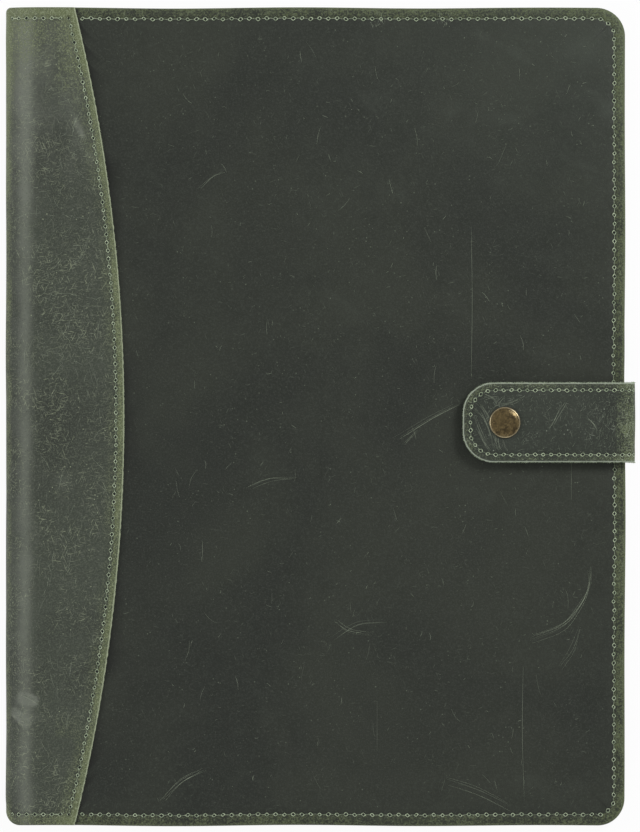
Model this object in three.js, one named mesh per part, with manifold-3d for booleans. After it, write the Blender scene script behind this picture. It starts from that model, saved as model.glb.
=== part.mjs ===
// Leather padfolio lying closed on its back cover, in millimetres.
// X runs from the spine to the fore edge, Y to the head of the page, Z up to the front cover.
// The origin is the centre of the back cover's outer face.
import * as THREE from "three";
import { mergeVertices } from "three/addons/utils/BufferGeometryUtils.js";
import Module from "manifold-3d";

// Overall size
const COVER_WIDTH = 250;
const COVER_HEIGHT = 330;
const FOLIO_THICKNESS = 20;
const FORE_HEAD_RADIUS = 11.5;
const FORE_TAIL_RADIUS = 11;
const SPINE_HEAD_RADIUS = 1.5;
const SPINE_TAIL_RADIUS = 5.5;

// Plies of a cover
const PANEL_LEATHER = 1.5;
const OVERLAY_LEATHER = 1;
const BOARD_THICKNESS = 1.6;
const LINING_THICKNESS = 0.6;
const TURNED_EDGE = 2;
const EDGE_ROUNDING = 1;

// Clearances
const PLY_GAP = 0.1;
const CUT_GAP = 0.3;
const HOLE_GAP = 0.3;

// Spine and its folds
const SPINE_LEATHER = 1.5;
const SPINE_LINING = 0.6;
const SPINE_FOLDS = 2;

// Spine overlay, whose convex edge is an arc across the cover
const OVERLAY_EDGE_AT_HEAD = 28;
const OVERLAY_EDGE_AT_MIDDLE = 48;

// Stitching
const THREAD_WIDTH = 0.6;
const THREAD_HEIGHT = 0.4;
const THREAD_DEPTH = 0.05;
const GROOVE_DEPTH = 0.6;
const EDGE_ROW_INSET = 4.4;
const OVERLAY_ROW_INSET = 3.35;
const STRAP_ROW_INSET = 3;

// Closure strap
const STRAP_WIDTH = 32;
const STRAP_CENTRE_Y = -2.3;
const STRAP_LEATHER = 1.6;
const STRAP_LINING = 1.2;
const STRAP_OVERHANG = 4.3;
const STRAP_REACH = 65.4;
const STRAP_BEND_RADIUS = 5;
const STRAP_NOSE_RADIUS = 12.4;
const STRAP_LIFT = 2.6;
const STRAP_ANCHOR_LENGTH = 30;

// Snap fastener
const SNAP_FROM_TIP = 16.9;
const CAP_DIAMETER = 12.6;
const CAP_HEIGHT = 1.5;
const CAP_RIM_HEIGHT = 0.7;
const CAP_POST_DIAMETER = 3.4;
const SOCKET_DIAMETER = 10.4;
const SOCKET_PLATE = 0.5;
const STUD_BASE_DIAMETER = 9.2;
const STUD_BASE_HEIGHT = 0.3;
const STUD_NECK_DIAMETER = 4.4;
const STUD_HEAD_DIAMETER = 5.4;
const STUD_HEIGHT = 1.7;
const STUD_HEAD_HEIGHT = 0.9;
const STUD_POST_DIAMETER = 3;
const EYELET_WALL = 0.5;
const EYELET_FLANGE_DIAMETER = 9;
const EYELET_FLANGE = 0.4;

// Writing pad
const PAPER_HEIGHT = 297;
const SHEET_COUNT = 50;
const SHEET_THICKNESS = 0.1;
const PAD_BACKING = 1;
const BINDING_TAPE = 0.3;
const BINDING_LAP = 20;

// Sleeve for the pad and pockets for papers and cards
const POCKET_EDGE_INSET = 4;
const POCKET_RIM = 3.6;
const POCKET_LEATHER = 0.8;
const POCKET_ROOM = 0.4;
const POCKET_SPINE_INSET = 24;
const POCKET_CORNER_RADIUS = 7;
const PAD_HEAD_ABOVE_SLEEVE = 32;
const DOCUMENT_POCKET_HEIGHT = 221;
const PAD_SIDE_ROOM = 2.4;
const CARD_POCKET_COUNT = 3;
const CARD_POCKET_WIDTH = 98;
const CARD_POCKET_LEATHER = 0.6;
const CARD_POCKET_HEIGHT = 90;
const CARD_POCKET_STEP = 18;
const CARD_POCKET_SIDE = 16;
const CARD_POCKET_TAIL = 12;

// Pen loop
const PEN_LOOP_BORE = 8.6;
const PEN_LOOP_LEATHER = 1;
const PEN_LOOP_LENGTH = 40;
const PEN_LOOP_TAB = 7;
const PEN_LOOP_SPINE_INSET = 16.4;

// Places worked out from the sizes
const SPINE_X = -COVER_WIDTH / 2;
const FORE_X = COVER_WIDTH / 2;
const HEAD_Y = COVER_HEIGHT / 2;
const TAIL_Y = -COVER_HEIGHT / 2;
const SPINE_RADIUS = FOLIO_THICKNESS / 2;
const SPINE_CENTRE_X = SPINE_X + SPINE_RADIUS;
const BACK_BOARD_Z = PANEL_LEATHER + PLY_GAP;
const BACK_LINING_Z = BACK_BOARD_Z + BOARD_THICKNESS + PLY_GAP;
const BACK_INSIDE_Z = BACK_LINING_Z + LINING_THICKNESS;
const FRONT_PANEL_TOP = FOLIO_THICKNESS - OVERLAY_LEATHER - PLY_GAP;
const FRONT_PANEL_Z = FRONT_PANEL_TOP - PANEL_LEATHER;
const FRONT_BOARD_Z = FRONT_PANEL_Z - PLY_GAP - BOARD_THICKNESS;
const FRONT_INSIDE_Z = FRONT_BOARD_Z - PLY_GAP - LINING_THICKNESS;
const FOLD_ANGLE = Math.PI / SPINE_FOLDS;
const ARC_STEPS = 6;
const SECTOR_STEP = Math.PI / 20;
const ROUND_STEPS = 32;
const CUT_REACH = 20;

const wasm = await Module();
wasm.setup();

// A closed geometry as a solid that can be cut and joined.
function solidOf(geometry) {
  const bare = geometry.index ? geometry.toNonIndexed() : geometry.clone();
  bare.deleteAttribute("normal");
  bare.deleteAttribute("uv");
  const merged = mergeVertices(bare, 1e-4);
  const mesh = new wasm.Mesh({
    numProp: 3,
    vertProperties: merged.attributes.position.array,
    triVerts: new Uint32Array(merged.index.array),
  });
  return new wasm.Manifold(mesh);
}

// A solid as the geometry of one mesh.
function geometryOf(solid) {
  const mesh = solid.getMesh();
  const geometry = new THREE.BufferGeometry();
  geometry.setAttribute("position", new THREE.BufferAttribute(new Float32Array(mesh.vertProperties), 3));
  geometry.setIndex(new THREE.BufferAttribute(new Uint32Array(mesh.triVerts), 1));
  geometry.computeVertexNormals();
  return geometry;
}

// A flat shape in X and Y, raised from z0 to z1.
function raise(shape, z0, z1) {
  const options = { depth: z1 - z0, bevelEnabled: false, curveSegments: ARC_STEPS };
  const geometry = new THREE.ExtrudeGeometry(shape, options);
  return solidOf(geometry.translate(0, 0, z0));
}

// A profile in X and Z, run along Y from y0 to y1.
function runAlongY(shape, y0, y1) {
  const options = { depth: y1 - y0, bevelEnabled: false, curveSegments: ARC_STEPS };
  const geometry = new THREE.ExtrudeGeometry(shape, options);
  return solidOf(geometry.rotateX(Math.PI / 2).translate(0, y1, 0));
}

// A round piece turned about a vertical axis, from a profile of [radius, height] points.
function turn(points, x, y, z) {
  const profile = points.map(([radius, height]) => new THREE.Vector2(radius, height));
  const geometry = new THREE.LatheGeometry(profile, ROUND_STEPS);
  return solidOf(geometry.rotateX(Math.PI / 2).translate(x, y, z));
}

// A plain plug, used to cut round holes.
function plug(radius, x, y, z0, z1) {
  const shape = new THREE.Shape().absarc(x, y, radius, 0, 2 * Math.PI, false);
  const options = { depth: z1 - z0, bevelEnabled: false, curveSegments: ROUND_STEPS / 2 };
  return solidOf(new THREE.ExtrudeGeometry(shape, options).translate(0, 0, z0));
}

// A rectangle with its own radius at each corner.
function roundedShape(x0, y0, x1, y1, corners) {
  const { lowLeft, lowRight, highRight, highLeft } = corners;
  const shape = new THREE.Shape();
  shape.moveTo(x0 + lowLeft, y0);
  shape.lineTo(x1 - lowRight, y0);
  shape.absarc(x1 - lowRight, y0 + lowRight, lowRight, -Math.PI / 2, 0, false);
  shape.lineTo(x1, y1 - highRight);
  shape.absarc(x1 - highRight, y1 - highRight, highRight, 0, Math.PI / 2, false);
  shape.lineTo(x0 + highLeft, y1);
  shape.absarc(x0 + highLeft, y1 - highLeft, highLeft, Math.PI / 2, Math.PI, false);
  shape.lineTo(x0, y0 + lowLeft);
  shape.absarc(x0 + lowLeft, y0 + lowLeft, lowLeft, Math.PI, 1.5 * Math.PI, false);
  return shape;
}

// A plain rectangle.
function boxShape(x0, y0, x1, y1) {
  const shape = new THREE.Shape();
  shape.moveTo(x0, y0);
  shape.lineTo(x1, y0);
  shape.lineTo(x1, y1);
  shape.lineTo(x0, y1);
  shape.closePath();
  return shape;
}

// The outline of the closed folio, drawn in by an inset.
function folioShape(inset) {
  const least = 0.3;
  return roundedShape(SPINE_X + inset, TAIL_Y + inset, FORE_X - inset, HEAD_Y - inset, {
    lowLeft: Math.max(SPINE_TAIL_RADIUS - inset, least),
    lowRight: Math.max(FORE_TAIL_RADIUS - inset, least),
    highRight: Math.max(FORE_HEAD_RADIUS - inset, least),
    highLeft: Math.max(SPINE_HEAD_RADIUS - inset, least),
  });
}

// The whole folio as a slab with rounded edges, up to a given height.
function folioSlab(top) {
  const options = {
    depth: top - 2 * EDGE_ROUNDING,
    bevelThickness: EDGE_ROUNDING,
    bevelSize: EDGE_ROUNDING,
    bevelOffset: -EDGE_ROUNDING,
    bevelSegments: 3,
    curveSegments: ARC_STEPS,
  };
  const geometry = new THREE.ExtrudeGeometry(folioShape(0), options);
  return solidOf(geometry.translate(0, 0, EDGE_ROUNDING));
}

// A band of a given width along an open line of points, for a row of stitches.
function bandShape(points, width) {
  const normals = [];
  for (let i = 0; i + 1 < points.length; i += 1) {
    const along = points[i + 1].clone().sub(points[i]).normalize();
    normals.push(new THREE.Vector2(-along.y, along.x));
  }
  const left = [];
  const right = [];
  points.forEach((point, i) => {
    const before = normals[Math.max(i - 1, 0)];
    const after = normals[Math.min(i, normals.length - 1)];
    const offset = before.clone().add(after).multiplyScalar(width / 2 / (1 + before.dot(after)));
    left.push(point.clone().add(offset));
    right.push(point.clone().sub(offset));
  });
  return new THREE.Shape([...right, ...left.reverse()]);
}

// Points of a path without repeats.
function pathPoints(path) {
  return path.getPoints(ARC_STEPS).filter((point, i, all) => i === 0 || point.distanceTo(all[i - 1]) > 1e-6);
}

// The arc of the overlay's edge: its radius, its centre and its place at a given height.
const ARC_RISE = OVERLAY_EDGE_AT_MIDDLE - OVERLAY_EDGE_AT_HEAD;
const OVERLAY_EDGE_RADIUS = (HEAD_Y * HEAD_Y + ARC_RISE * ARC_RISE) / (2 * ARC_RISE);
const OVERLAY_EDGE_CENTRE_X = SPINE_X + OVERLAY_EDGE_AT_MIDDLE - OVERLAY_EDGE_RADIUS;

// Points along an arc beside the overlay's edge, from tail to head.
function overlayArc(offset, reachY) {
  const steps = 32;
  const radius = OVERLAY_EDGE_RADIUS + offset;
  const points = [];
  for (let i = 0; i <= steps; i += 1) {
    const y = reachY * ((2 * i) / steps - 1);
    points.push(new THREE.Vector2(OVERLAY_EDGE_CENTRE_X + Math.sqrt(radius * radius - y * y), y));
  }
  return points;
}

// Everything on the spine's side of the overlay's edge.
function overlaySide(offset) {
  const reachY = HEAD_Y + CUT_REACH;
  const far = SPINE_X - CUT_REACH;
  const corners = [new THREE.Vector2(far, reachY), new THREE.Vector2(far, -reachY)];
  const shape = new THREE.Shape([...overlayArc(offset, reachY), ...corners]);
  return raise(shape, -CUT_REACH, FOLIO_THICKNESS + CUT_REACH);
}

// A profile that follows the spine's roll between two angles from the back cover.
function spineSector(outerRadius, innerRadius, from, to, lead) {
  const shape = new THREE.Shape();
  const steps = Math.ceil((to - from) / SECTOR_STEP);
  const place = (radius, angle) => [
    SPINE_CENTRE_X - radius * Math.sin(angle),
    SPINE_RADIUS - radius * Math.cos(angle),
  ];
  const outer = [];
  const inner = [];
  for (let i = 0; i <= steps; i += 1) {
    const angle = from + ((to - from) * i) / steps;
    outer.push(place(outerRadius, angle));
    inner.push(place(innerRadius, angle));
  }
  if (lead === "before") {
    outer.unshift([FORE_X, outer[0][1]]);
    inner.unshift([FORE_X, inner[0][1]]);
  }
  if (lead === "after") {
    outer.push([FORE_X, outer[steps][1]]);
    inner.push([FORE_X, inner[steps][1]]);
  }
  [...inner, ...outer.reverse()].forEach(([x, z], i) => {
    if (i === 0) shape.moveTo(x, z);
    else shape.lineTo(x, z);
  });
  return shape;
}

// Rows of stitches as lines in X and Y.
function edgeRow() {
  const inset = EDGE_ROW_INSET;
  const headY = HEAD_Y - inset;
  const foreX = FORE_X - inset;
  const start = overlayArc(CUT_GAP + THREAD_WIDTH, headY)[0].x;
  const tailRadius = FORE_TAIL_RADIUS - inset;
  const headRadius = FORE_HEAD_RADIUS - inset;
  const path = new THREE.Path();
  path.moveTo(start, -headY);
  path.lineTo(foreX - tailRadius, -headY);
  path.absarc(foreX - tailRadius, tailRadius - headY, tailRadius, -Math.PI / 2, 0, false);
  path.lineTo(foreX, headY - headRadius);
  path.absarc(foreX - headRadius, headY - headRadius, headRadius, 0, Math.PI / 2, false);
  path.lineTo(start, headY);
  return pathPoints(path);
}

function overlayRow() {
  const headY = HEAD_Y - EDGE_ROW_INSET;
  const first = new THREE.Vector2(SPINE_CENTRE_X, -headY);
  const last = new THREE.Vector2(SPINE_CENTRE_X, headY);
  return [first, ...overlayArc(-OVERLAY_ROW_INSET, headY), last];
}

// A row of thread sunk in the face at a given height, and the groove that it lies in.
function sunkRow(points, faceZ, inward) {
  const near = faceZ + inward * THREAD_DEPTH;
  const far = near + inward * THREAD_HEIGHT;
  const floor = faceZ + inward * GROOVE_DEPTH;
  const past = faceZ - inward * CUT_GAP;
  const grooved = bandShape(points, THREAD_WIDTH + 2 * CUT_GAP);
  return {
    thread: raise(bandShape(points, THREAD_WIDTH), Math.min(near, far), Math.max(near, far)),
    groove: raise(grooved, Math.min(past, floor), Math.max(past, floor)),
  };
}

// Materials
function material(color, roughness, metalness = 0) {
  return new THREE.MeshStandardMaterial({ color, roughness, metalness });
}
const panelFinish = () => material(0x383b34, 0.6);
const overlayFinish = () => material(0x474c42, 0.62);
const liningFinish = () => material(0x2c2e29, 0.85);
const boardFinish = () => material(0x8b8172, 0.9);
const threadFinish = () => material(0x8f9f80, 0.8);
const brassFinish = () => material(0x7d6a45, 0.42, 1);
const paperFinish = () => material(0xf0ede2, 0.9);

const padfolio = new THREE.Group();
function place(name, solid, finish) {
  const mesh = new THREE.Mesh(geometryOf(solid), finish);
  mesh.name = name;
  padfolio.add(mesh);
}

// Places of the snap and the strap
const STRAP_TIP_X = FORE_X - STRAP_REACH;
const SNAP_X = STRAP_TIP_X + SNAP_FROM_TIP;
const SNAP_Y = STRAP_CENTRE_Y;
const STRAP_OUTER_X = FORE_X + STRAP_OVERHANG;
const STRAP_BEND_X = STRAP_OUTER_X - STRAP_BEND_RADIUS;
const STRAP_THICKNESS = STRAP_LEATHER + PLY_GAP + STRAP_LINING;
const STRAP_TOP_Z = FRONT_PANEL_TOP + STRAP_LIFT + STRAP_THICKNESS;
const UPPER_BEND_Z = STRAP_TOP_Z - STRAP_BEND_RADIUS;
const LOWER_BEND_Z = BACK_BOARD_Z + STRAP_BEND_RADIUS;

const backSlab = folioSlab(FOLIO_THICKNESS);
const panelSlab = folioSlab(FRONT_PANEL_TOP);
const insideEdge = raise(folioShape(TURNED_EDGE), -CUT_REACH, FOLIO_THICKNESS + CUT_REACH);
const flatSide = raise(boxShape(SPINE_CENTRE_X, TAIL_Y, FORE_X, HEAD_Y), 0, FOLIO_THICKNESS);

// Turned edge of a cover: the leather's wall round the board and lining.
function turnedEdge(slab, z0, z1) {
  const levels = raise(boxShape(SPINE_CENTRE_X, TAIL_Y, FORE_X, HEAD_Y), z0, z1);
  return slab.intersect(levels).subtract(insideEdge);
}

// A flat ply that lies inside the turned edge.
function innerPly(z, thickness) {
  const shape = folioShape(TURNED_EDGE + CUT_GAP);
  return raise(shape, z, z + thickness).intersect(flatSide);
}

// Back cover
const strapSlot = boxShape(
  FORE_X - STRAP_ANCHOR_LENGTH - CUT_GAP,
  STRAP_CENTRE_Y - STRAP_WIDTH / 2 - CUT_GAP,
  FORE_X + CUT_REACH,
  STRAP_CENTRE_Y + STRAP_WIDTH / 2 + CUT_GAP,
);
const edgeRowLine = edgeRow();
const overlayRowLine = overlayRow();
const backEdgeRow = sunkRow(edgeRowLine, 0, 1);
const backOverlayRow = sunkRow(overlayRowLine, 0, 1);
const firstFold = FOLD_ANGLE / 2;
const halfGap = CUT_GAP / 2 / SPINE_RADIUS;
const backSheet = runAlongY(
  spineSector(SPINE_RADIUS, SPINE_RADIUS - PANEL_LEATHER, 0, firstFold - halfGap, "before"),
  TAIL_Y,
  HEAD_Y,
).intersect(backSlab);
const backLeather = backSheet.add(turnedEdge(backSlab, 0, BACK_INSIDE_Z));
const backOverlay = backLeather.intersect(overlaySide(0)).subtract(backOverlayRow.groove);
const backPanel = backLeather
  .subtract(overlaySide(CUT_GAP))
  .subtract(backEdgeRow.groove)
  .subtract(raise(strapSlot, PANEL_LEATHER, BACK_INSIDE_Z + CUT_REACH));
place("back_panel_leather", backPanel, panelFinish());
place("spine_overlay_back", backOverlay, overlayFinish());
place("back_edge_thread", backEdgeRow.thread, threadFinish());
place("back_overlay_thread", backOverlayRow.thread, threadFinish());
const backBoard = innerPly(BACK_BOARD_Z, BOARD_THICKNESS).subtract(
  raise(strapSlot, BACK_BOARD_Z - CUT_REACH, BACK_LINING_Z + CUT_REACH),
);
place("back_board", backBoard, boardFinish());
place("back_lining", innerPly(BACK_LINING_Z, LINING_THICKNESS), liningFinish());

// Spine strip between the two folds, leather outside and lining inside
const lastFold = Math.PI - firstFold;
const stripLeatherRadius = SPINE_RADIUS - SPINE_LEATHER;
const stripLiningRadius = stripLeatherRadius - PLY_GAP;
const stripLeather = runAlongY(
  spineSector(SPINE_RADIUS, stripLeatherRadius, firstFold + halfGap, lastFold - halfGap),
  TAIL_Y,
  HEAD_Y,
);
const stripLining = runAlongY(
  spineSector(stripLiningRadius, stripLiningRadius - SPINE_LINING, firstFold + halfGap, lastFold - halfGap),
  TAIL_Y + TURNED_EDGE,
  HEAD_Y - TURNED_EDGE,
);
place("spine_leather", stripLeather.intersect(backSlab), overlayFinish());
place("spine_lining", stripLining.intersect(backSlab), liningFinish());

// Front cover
const frontEdgeRow = sunkRow(edgeRowLine, FRONT_PANEL_TOP, -1);
const frontOverlayRow = sunkRow(overlayRowLine, FOLIO_THICKNESS, -1);
const frontOverlay = runAlongY(
  spineSector(SPINE_RADIUS, SPINE_RADIUS - OVERLAY_LEATHER, lastFold + halfGap, Math.PI, "after"),
  TAIL_Y,
  HEAD_Y,
)
  .intersect(backSlab)
  .intersect(overlaySide(0))
  .subtract(frontOverlayRow.groove);
const eyeletRadius = STUD_POST_DIAMETER / 2 + HOLE_GAP + EYELET_WALL;
const eyeletHole = plug(eyeletRadius + HOLE_GAP, SNAP_X, SNAP_Y, FRONT_BOARD_Z - CUT_GAP, FOLIO_THICKNESS);
const frontPanel = panelSlab
  .intersect(raise(boxShape(SPINE_CENTRE_X, TAIL_Y, FORE_X, HEAD_Y), FRONT_PANEL_Z, FRONT_PANEL_TOP))
  .add(turnedEdge(panelSlab, FRONT_INSIDE_Z, FRONT_PANEL_TOP))
  .subtract(frontEdgeRow.groove)
  .subtract(eyeletHole);
const flangeSeat = plug(
  EYELET_FLANGE_DIAMETER / 2 + HOLE_GAP,
  SNAP_X,
  SNAP_Y,
  FRONT_BOARD_Z - CUT_GAP,
  FRONT_BOARD_Z + EYELET_FLANGE + PLY_GAP,
);
const frontBoard = innerPly(FRONT_BOARD_Z, BOARD_THICKNESS).subtract(eyeletHole).subtract(flangeSeat);
place("front_panel_leather", frontPanel, panelFinish());
place("spine_overlay_front", frontOverlay, overlayFinish());
place("front_edge_thread", frontEdgeRow.thread, threadFinish());
place("front_overlay_thread", frontOverlayRow.thread, threadFinish());
place("front_board", frontBoard, boardFinish());
place("front_lining", innerPly(FRONT_INSIDE_Z, LINING_THICKNESS), liningFinish());

// A leather panel held by a rim on three sides, open towards the head.
function pocket(height, faceZ, room, inward) {
  const x0 = SPINE_X + POCKET_SPINE_INSET;
  const x1 = FORE_X - POCKET_EDGE_INSET;
  const y0 = TAIL_Y + POCKET_EDGE_INSET;
  const square = 0.5;
  const outline = roundedShape(x0, y0, x1, y0 + height, {
    lowLeft: square,
    lowRight: POCKET_CORNER_RADIUS,
    highRight: square,
    highLeft: square,
  });
  const near = faceZ + inward * PLY_GAP;
  const plateZ = near + inward * room;
  const far = plateZ + inward * POCKET_LEATHER;
  const hollow = boxShape(x0 + POCKET_RIM, y0 + POCKET_RIM, x1 - POCKET_RIM, HEAD_Y + CUT_REACH);
  const past = near - inward * CUT_GAP;
  const whole = raise(outline, Math.min(near, far), Math.max(near, far));
  return whole.subtract(raise(hollow, Math.min(past, plateZ), Math.max(past, plateZ)));
}

// Outline of the writing pad, which fills the width between the sleeve's rims
const padX0 = SPINE_X + POCKET_SPINE_INSET + POCKET_RIM + PAD_SIDE_ROOM;
const padX1 = FORE_X - POCKET_EDGE_INSET - POCKET_RIM - PAD_SIDE_ROOM;
const padY0 = TAIL_Y + POCKET_EDGE_INSET + POCKET_RIM + PAD_SIDE_ROOM;
const padY1 = padY0 + PAPER_HEIGHT;

// Pad sleeve: the pad's backing slides in behind it, and the paper lies on it.
const sleeveRoom = PAD_BACKING + PLY_GAP;
const sleeveTopZ = BACK_INSIDE_Z + PLY_GAP + sleeveRoom + POCKET_LEATHER;
const sleeveTailY = TAIL_Y + POCKET_EDGE_INSET;
const sleeveHeadY = padY1 - PAD_HEAD_ABOVE_SLEEVE;
place("pad_sleeve", pocket(sleeveHeadY - sleeveTailY, BACK_INSIDE_Z, sleeveRoom, 1), panelFinish());

// Document pocket and card pockets on the front cover's lining
place("document_pocket", pocket(DOCUMENT_POCKET_HEIGHT, FRONT_INSIDE_Z, POCKET_ROOM, -1), panelFinish());
const documentPocketZ = FRONT_INSIDE_Z - PLY_GAP - POCKET_ROOM - POCKET_LEATHER;
for (let i = 0; i < CARD_POCKET_COUNT; i += 1) {
  const x1 = FORE_X - POCKET_EDGE_INSET - CARD_POCKET_SIDE;
  const y0 = TAIL_Y + POCKET_EDGE_INSET + CARD_POCKET_TAIL;
  const top = documentPocketZ - PLY_GAP - i * (CARD_POCKET_LEATHER + PLY_GAP);
  const height = CARD_POCKET_HEIGHT - i * CARD_POCKET_STEP;
  const shape = boxShape(x1 - CARD_POCKET_WIDTH, y0, x1, y0 + height);
  place("card_pocket_" + (i + 1), raise(shape, top - CARD_POCKET_LEATHER, top), overlayFinish());
}

// Pen loop in the gutter, with its sewn tab towards the pad
const loopRadius = PEN_LOOP_BORE / 2 + PEN_LOOP_LEATHER;
const loopX = SPINE_X + PEN_LOOP_SPINE_INSET;
const loopZ = BACK_INSIDE_Z + PLY_GAP + loopRadius;
const loopRing = new THREE.Shape().absarc(loopX, loopZ, loopRadius, 0, 2 * Math.PI, false);
loopRing.holes.push(new THREE.Path().absarc(loopX, loopZ, PEN_LOOP_BORE / 2, 0, 2 * Math.PI, true));
const loopTabZ = loopZ - loopRadius;
const loopTab = boxShape(loopX, loopTabZ, loopX + PEN_LOOP_TAB, loopTabZ + PEN_LOOP_LEATHER);
const loopTube = new THREE.ExtrudeGeometry(loopRing, {
  depth: PEN_LOOP_LENGTH,
  bevelEnabled: false,
  curveSegments: ROUND_STEPS / 2,
});
const penLoop = solidOf(loopTube.rotateX(Math.PI / 2).translate(0, PEN_LOOP_LENGTH / 2, 0)).add(
  runAlongY(loopTab, -PEN_LOOP_LENGTH / 2, PEN_LOOP_LENGTH / 2),
);
place("pen_loop", penLoop, panelFinish());

// Writing pad
const backingZ = BACK_INSIDE_Z + PLY_GAP;
const paperZ = sleeveTopZ + PLY_GAP;
const paperTopZ = paperZ + SHEET_COUNT * SHEET_THICKNESS;
const headPaperZ = backingZ + PAD_BACKING + PLY_GAP;
const backing = raise(boxShape(padX0, padY0, padX1, padY1), backingZ, backingZ + PAD_BACKING);
const sheets = raise(boxShape(padX0, padY0, padX1, padY1), paperZ, paperTopZ).add(
  raise(boxShape(padX0, sleeveHeadY + 1, padX1, padY1), headPaperZ, paperTopZ),
);
const tapeTop = raise(
  boxShape(padX0, padY1 - BINDING_LAP, padX1, padY1 + PLY_GAP + BINDING_TAPE),
  paperTopZ + PLY_GAP,
  paperTopZ + PLY_GAP + BINDING_TAPE,
);
const tapeHead = raise(
  boxShape(padX0, padY1 + PLY_GAP, padX1, padY1 + PLY_GAP + BINDING_TAPE),
  backingZ,
  paperTopZ + PLY_GAP + BINDING_TAPE,
);
place("pad_backing", backing, boardFinish());
place("paper_block", sheets, paperFinish());
place("pad_binding_tape", tapeTop.add(tapeHead), liningFinish());

// A strap ply in X and Z, between two places on its run from the anchor to the tip.
// The run is the anchor, the lower bend, the side, the upper bend and the flap.
function strapPly(depth, thickness, part) {
  const outer = STRAP_BEND_RADIUS - depth;
  const inner = outer - thickness;
  const gap = CUT_GAP / 2 / STRAP_BEND_RADIUS;
  const quarter = Math.PI / 4;
  const steps = 4;
  const walk = (radius) => {
    const line = [];
    const bend = (centreZ, from, to) => {
      for (let i = 0; i <= steps; i += 1) {
        const angle = from + ((to - from) * i) / steps;
        line.push([STRAP_BEND_X + radius * Math.cos(angle), centreZ + radius * Math.sin(angle)]);
      }
    };
    if (part === "anchor") {
      line.push([FORE_X - STRAP_ANCHOR_LENGTH, LOWER_BEND_Z - radius]);
      bend(LOWER_BEND_Z, -2 * quarter, -quarter - gap);
    }
    if (part === "side") {
      bend(LOWER_BEND_Z, -quarter + gap, 0);
      bend(UPPER_BEND_Z, 0, quarter - gap);
    }
    if (part === "flap") {
      bend(UPPER_BEND_Z, quarter + gap, 2 * quarter);
      line.push([STRAP_TIP_X, UPPER_BEND_Z + radius]);
    }
    return line;
  };
  const shape = new THREE.Shape();
  [...walk(outer), ...walk(inner).reverse()].forEach(([x, z], i) => {
    if (i === 0) shape.moveTo(x, z);
    else shape.lineTo(x, z);
  });
  const half = STRAP_WIDTH / 2;
  return runAlongY(shape, STRAP_CENTRE_Y - half, STRAP_CENTRE_Y + half);
}

// The flap's outline, with its rounded nose.
const noseShape = roundedShape(
  STRAP_TIP_X,
  STRAP_CENTRE_Y - STRAP_WIDTH / 2,
  STRAP_OUTER_X + CUT_REACH,
  STRAP_CENTRE_Y + STRAP_WIDTH / 2,
  { lowLeft: STRAP_NOSE_RADIUS, lowRight: 1, highRight: 1, highLeft: STRAP_NOSE_RADIUS },
);
const nose = raise(noseShape, FRONT_PANEL_TOP, STRAP_TOP_Z + CUT_REACH);

// The stitch row round the nose.
function strapRow() {
  const half = STRAP_WIDTH / 2 - STRAP_ROW_INSET;
  const radius = STRAP_NOSE_RADIUS - STRAP_ROW_INSET;
  const tip = STRAP_TIP_X + STRAP_ROW_INSET;
  const low = STRAP_CENTRE_Y - half;
  const high = STRAP_CENTRE_Y + half;
  const path = new THREE.Path();
  path.moveTo(STRAP_BEND_X, high);
  path.lineTo(tip + radius, high);
  path.absarc(tip + radius, high - radius, radius, Math.PI / 2, Math.PI, false);
  path.lineTo(tip, low + radius);
  path.absarc(tip + radius, low + radius, radius, Math.PI, 1.5 * Math.PI, false);
  path.lineTo(STRAP_BEND_X, low);
  return pathPoints(path);
}

const postHole = plug(CAP_POST_DIAMETER / 2 + HOLE_GAP, SNAP_X, SNAP_Y, FRONT_PANEL_TOP, STRAP_TOP_Z + CUT_REACH);
const strapThread = sunkRow(strapRow(), STRAP_TOP_Z, -1);
const liningDepth = STRAP_LEATHER + PLY_GAP;
place("strap_anchor", strapPly(0, STRAP_LEATHER, "anchor"), overlayFinish());
place("strap_side_leather", strapPly(0, STRAP_LEATHER, "side"), overlayFinish());
place("strap_side_lining", strapPly(liningDepth, STRAP_LINING, "side"), liningFinish());
const flapLeather = strapPly(0, STRAP_LEATHER, "flap").intersect(nose).subtract(postHole);
place("strap_flap_leather", flapLeather.subtract(strapThread.groove), overlayFinish());
const flapLining = strapPly(liningDepth, STRAP_LINING, "flap").intersect(nose).subtract(postHole);
place("strap_flap_lining", flapLining, liningFinish());
place("strap_thread", strapThread.thread, threadFinish());

// Snap cap and its post through the strap
const capRadius = CAP_DIAMETER / 2;
const capBaseZ = STRAP_TOP_Z + PLY_GAP;
const socketTopZ = FRONT_PANEL_TOP + STRAP_LIFT - PLY_GAP;
const postEnd = socketTopZ - SOCKET_PLATE - capBaseZ;
const capProfile = [
  [0, postEnd],
  [CAP_POST_DIAMETER / 2, postEnd],
  [CAP_POST_DIAMETER / 2, 0],
  [capRadius - 0.3, 0],
  [capRadius, 0.3],
  [capRadius, CAP_RIM_HEIGHT],
  [capRadius * 0.94, CAP_RIM_HEIGHT + 0.3],
  [capRadius * 0.82, CAP_RIM_HEIGHT + 0.35],
  [capRadius * 0.55, CAP_HEIGHT - 0.15],
  [0, CAP_HEIGHT],
];
place("snap_cap", turn(capProfile, SNAP_X, SNAP_Y, capBaseZ), brassFinish());

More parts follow.
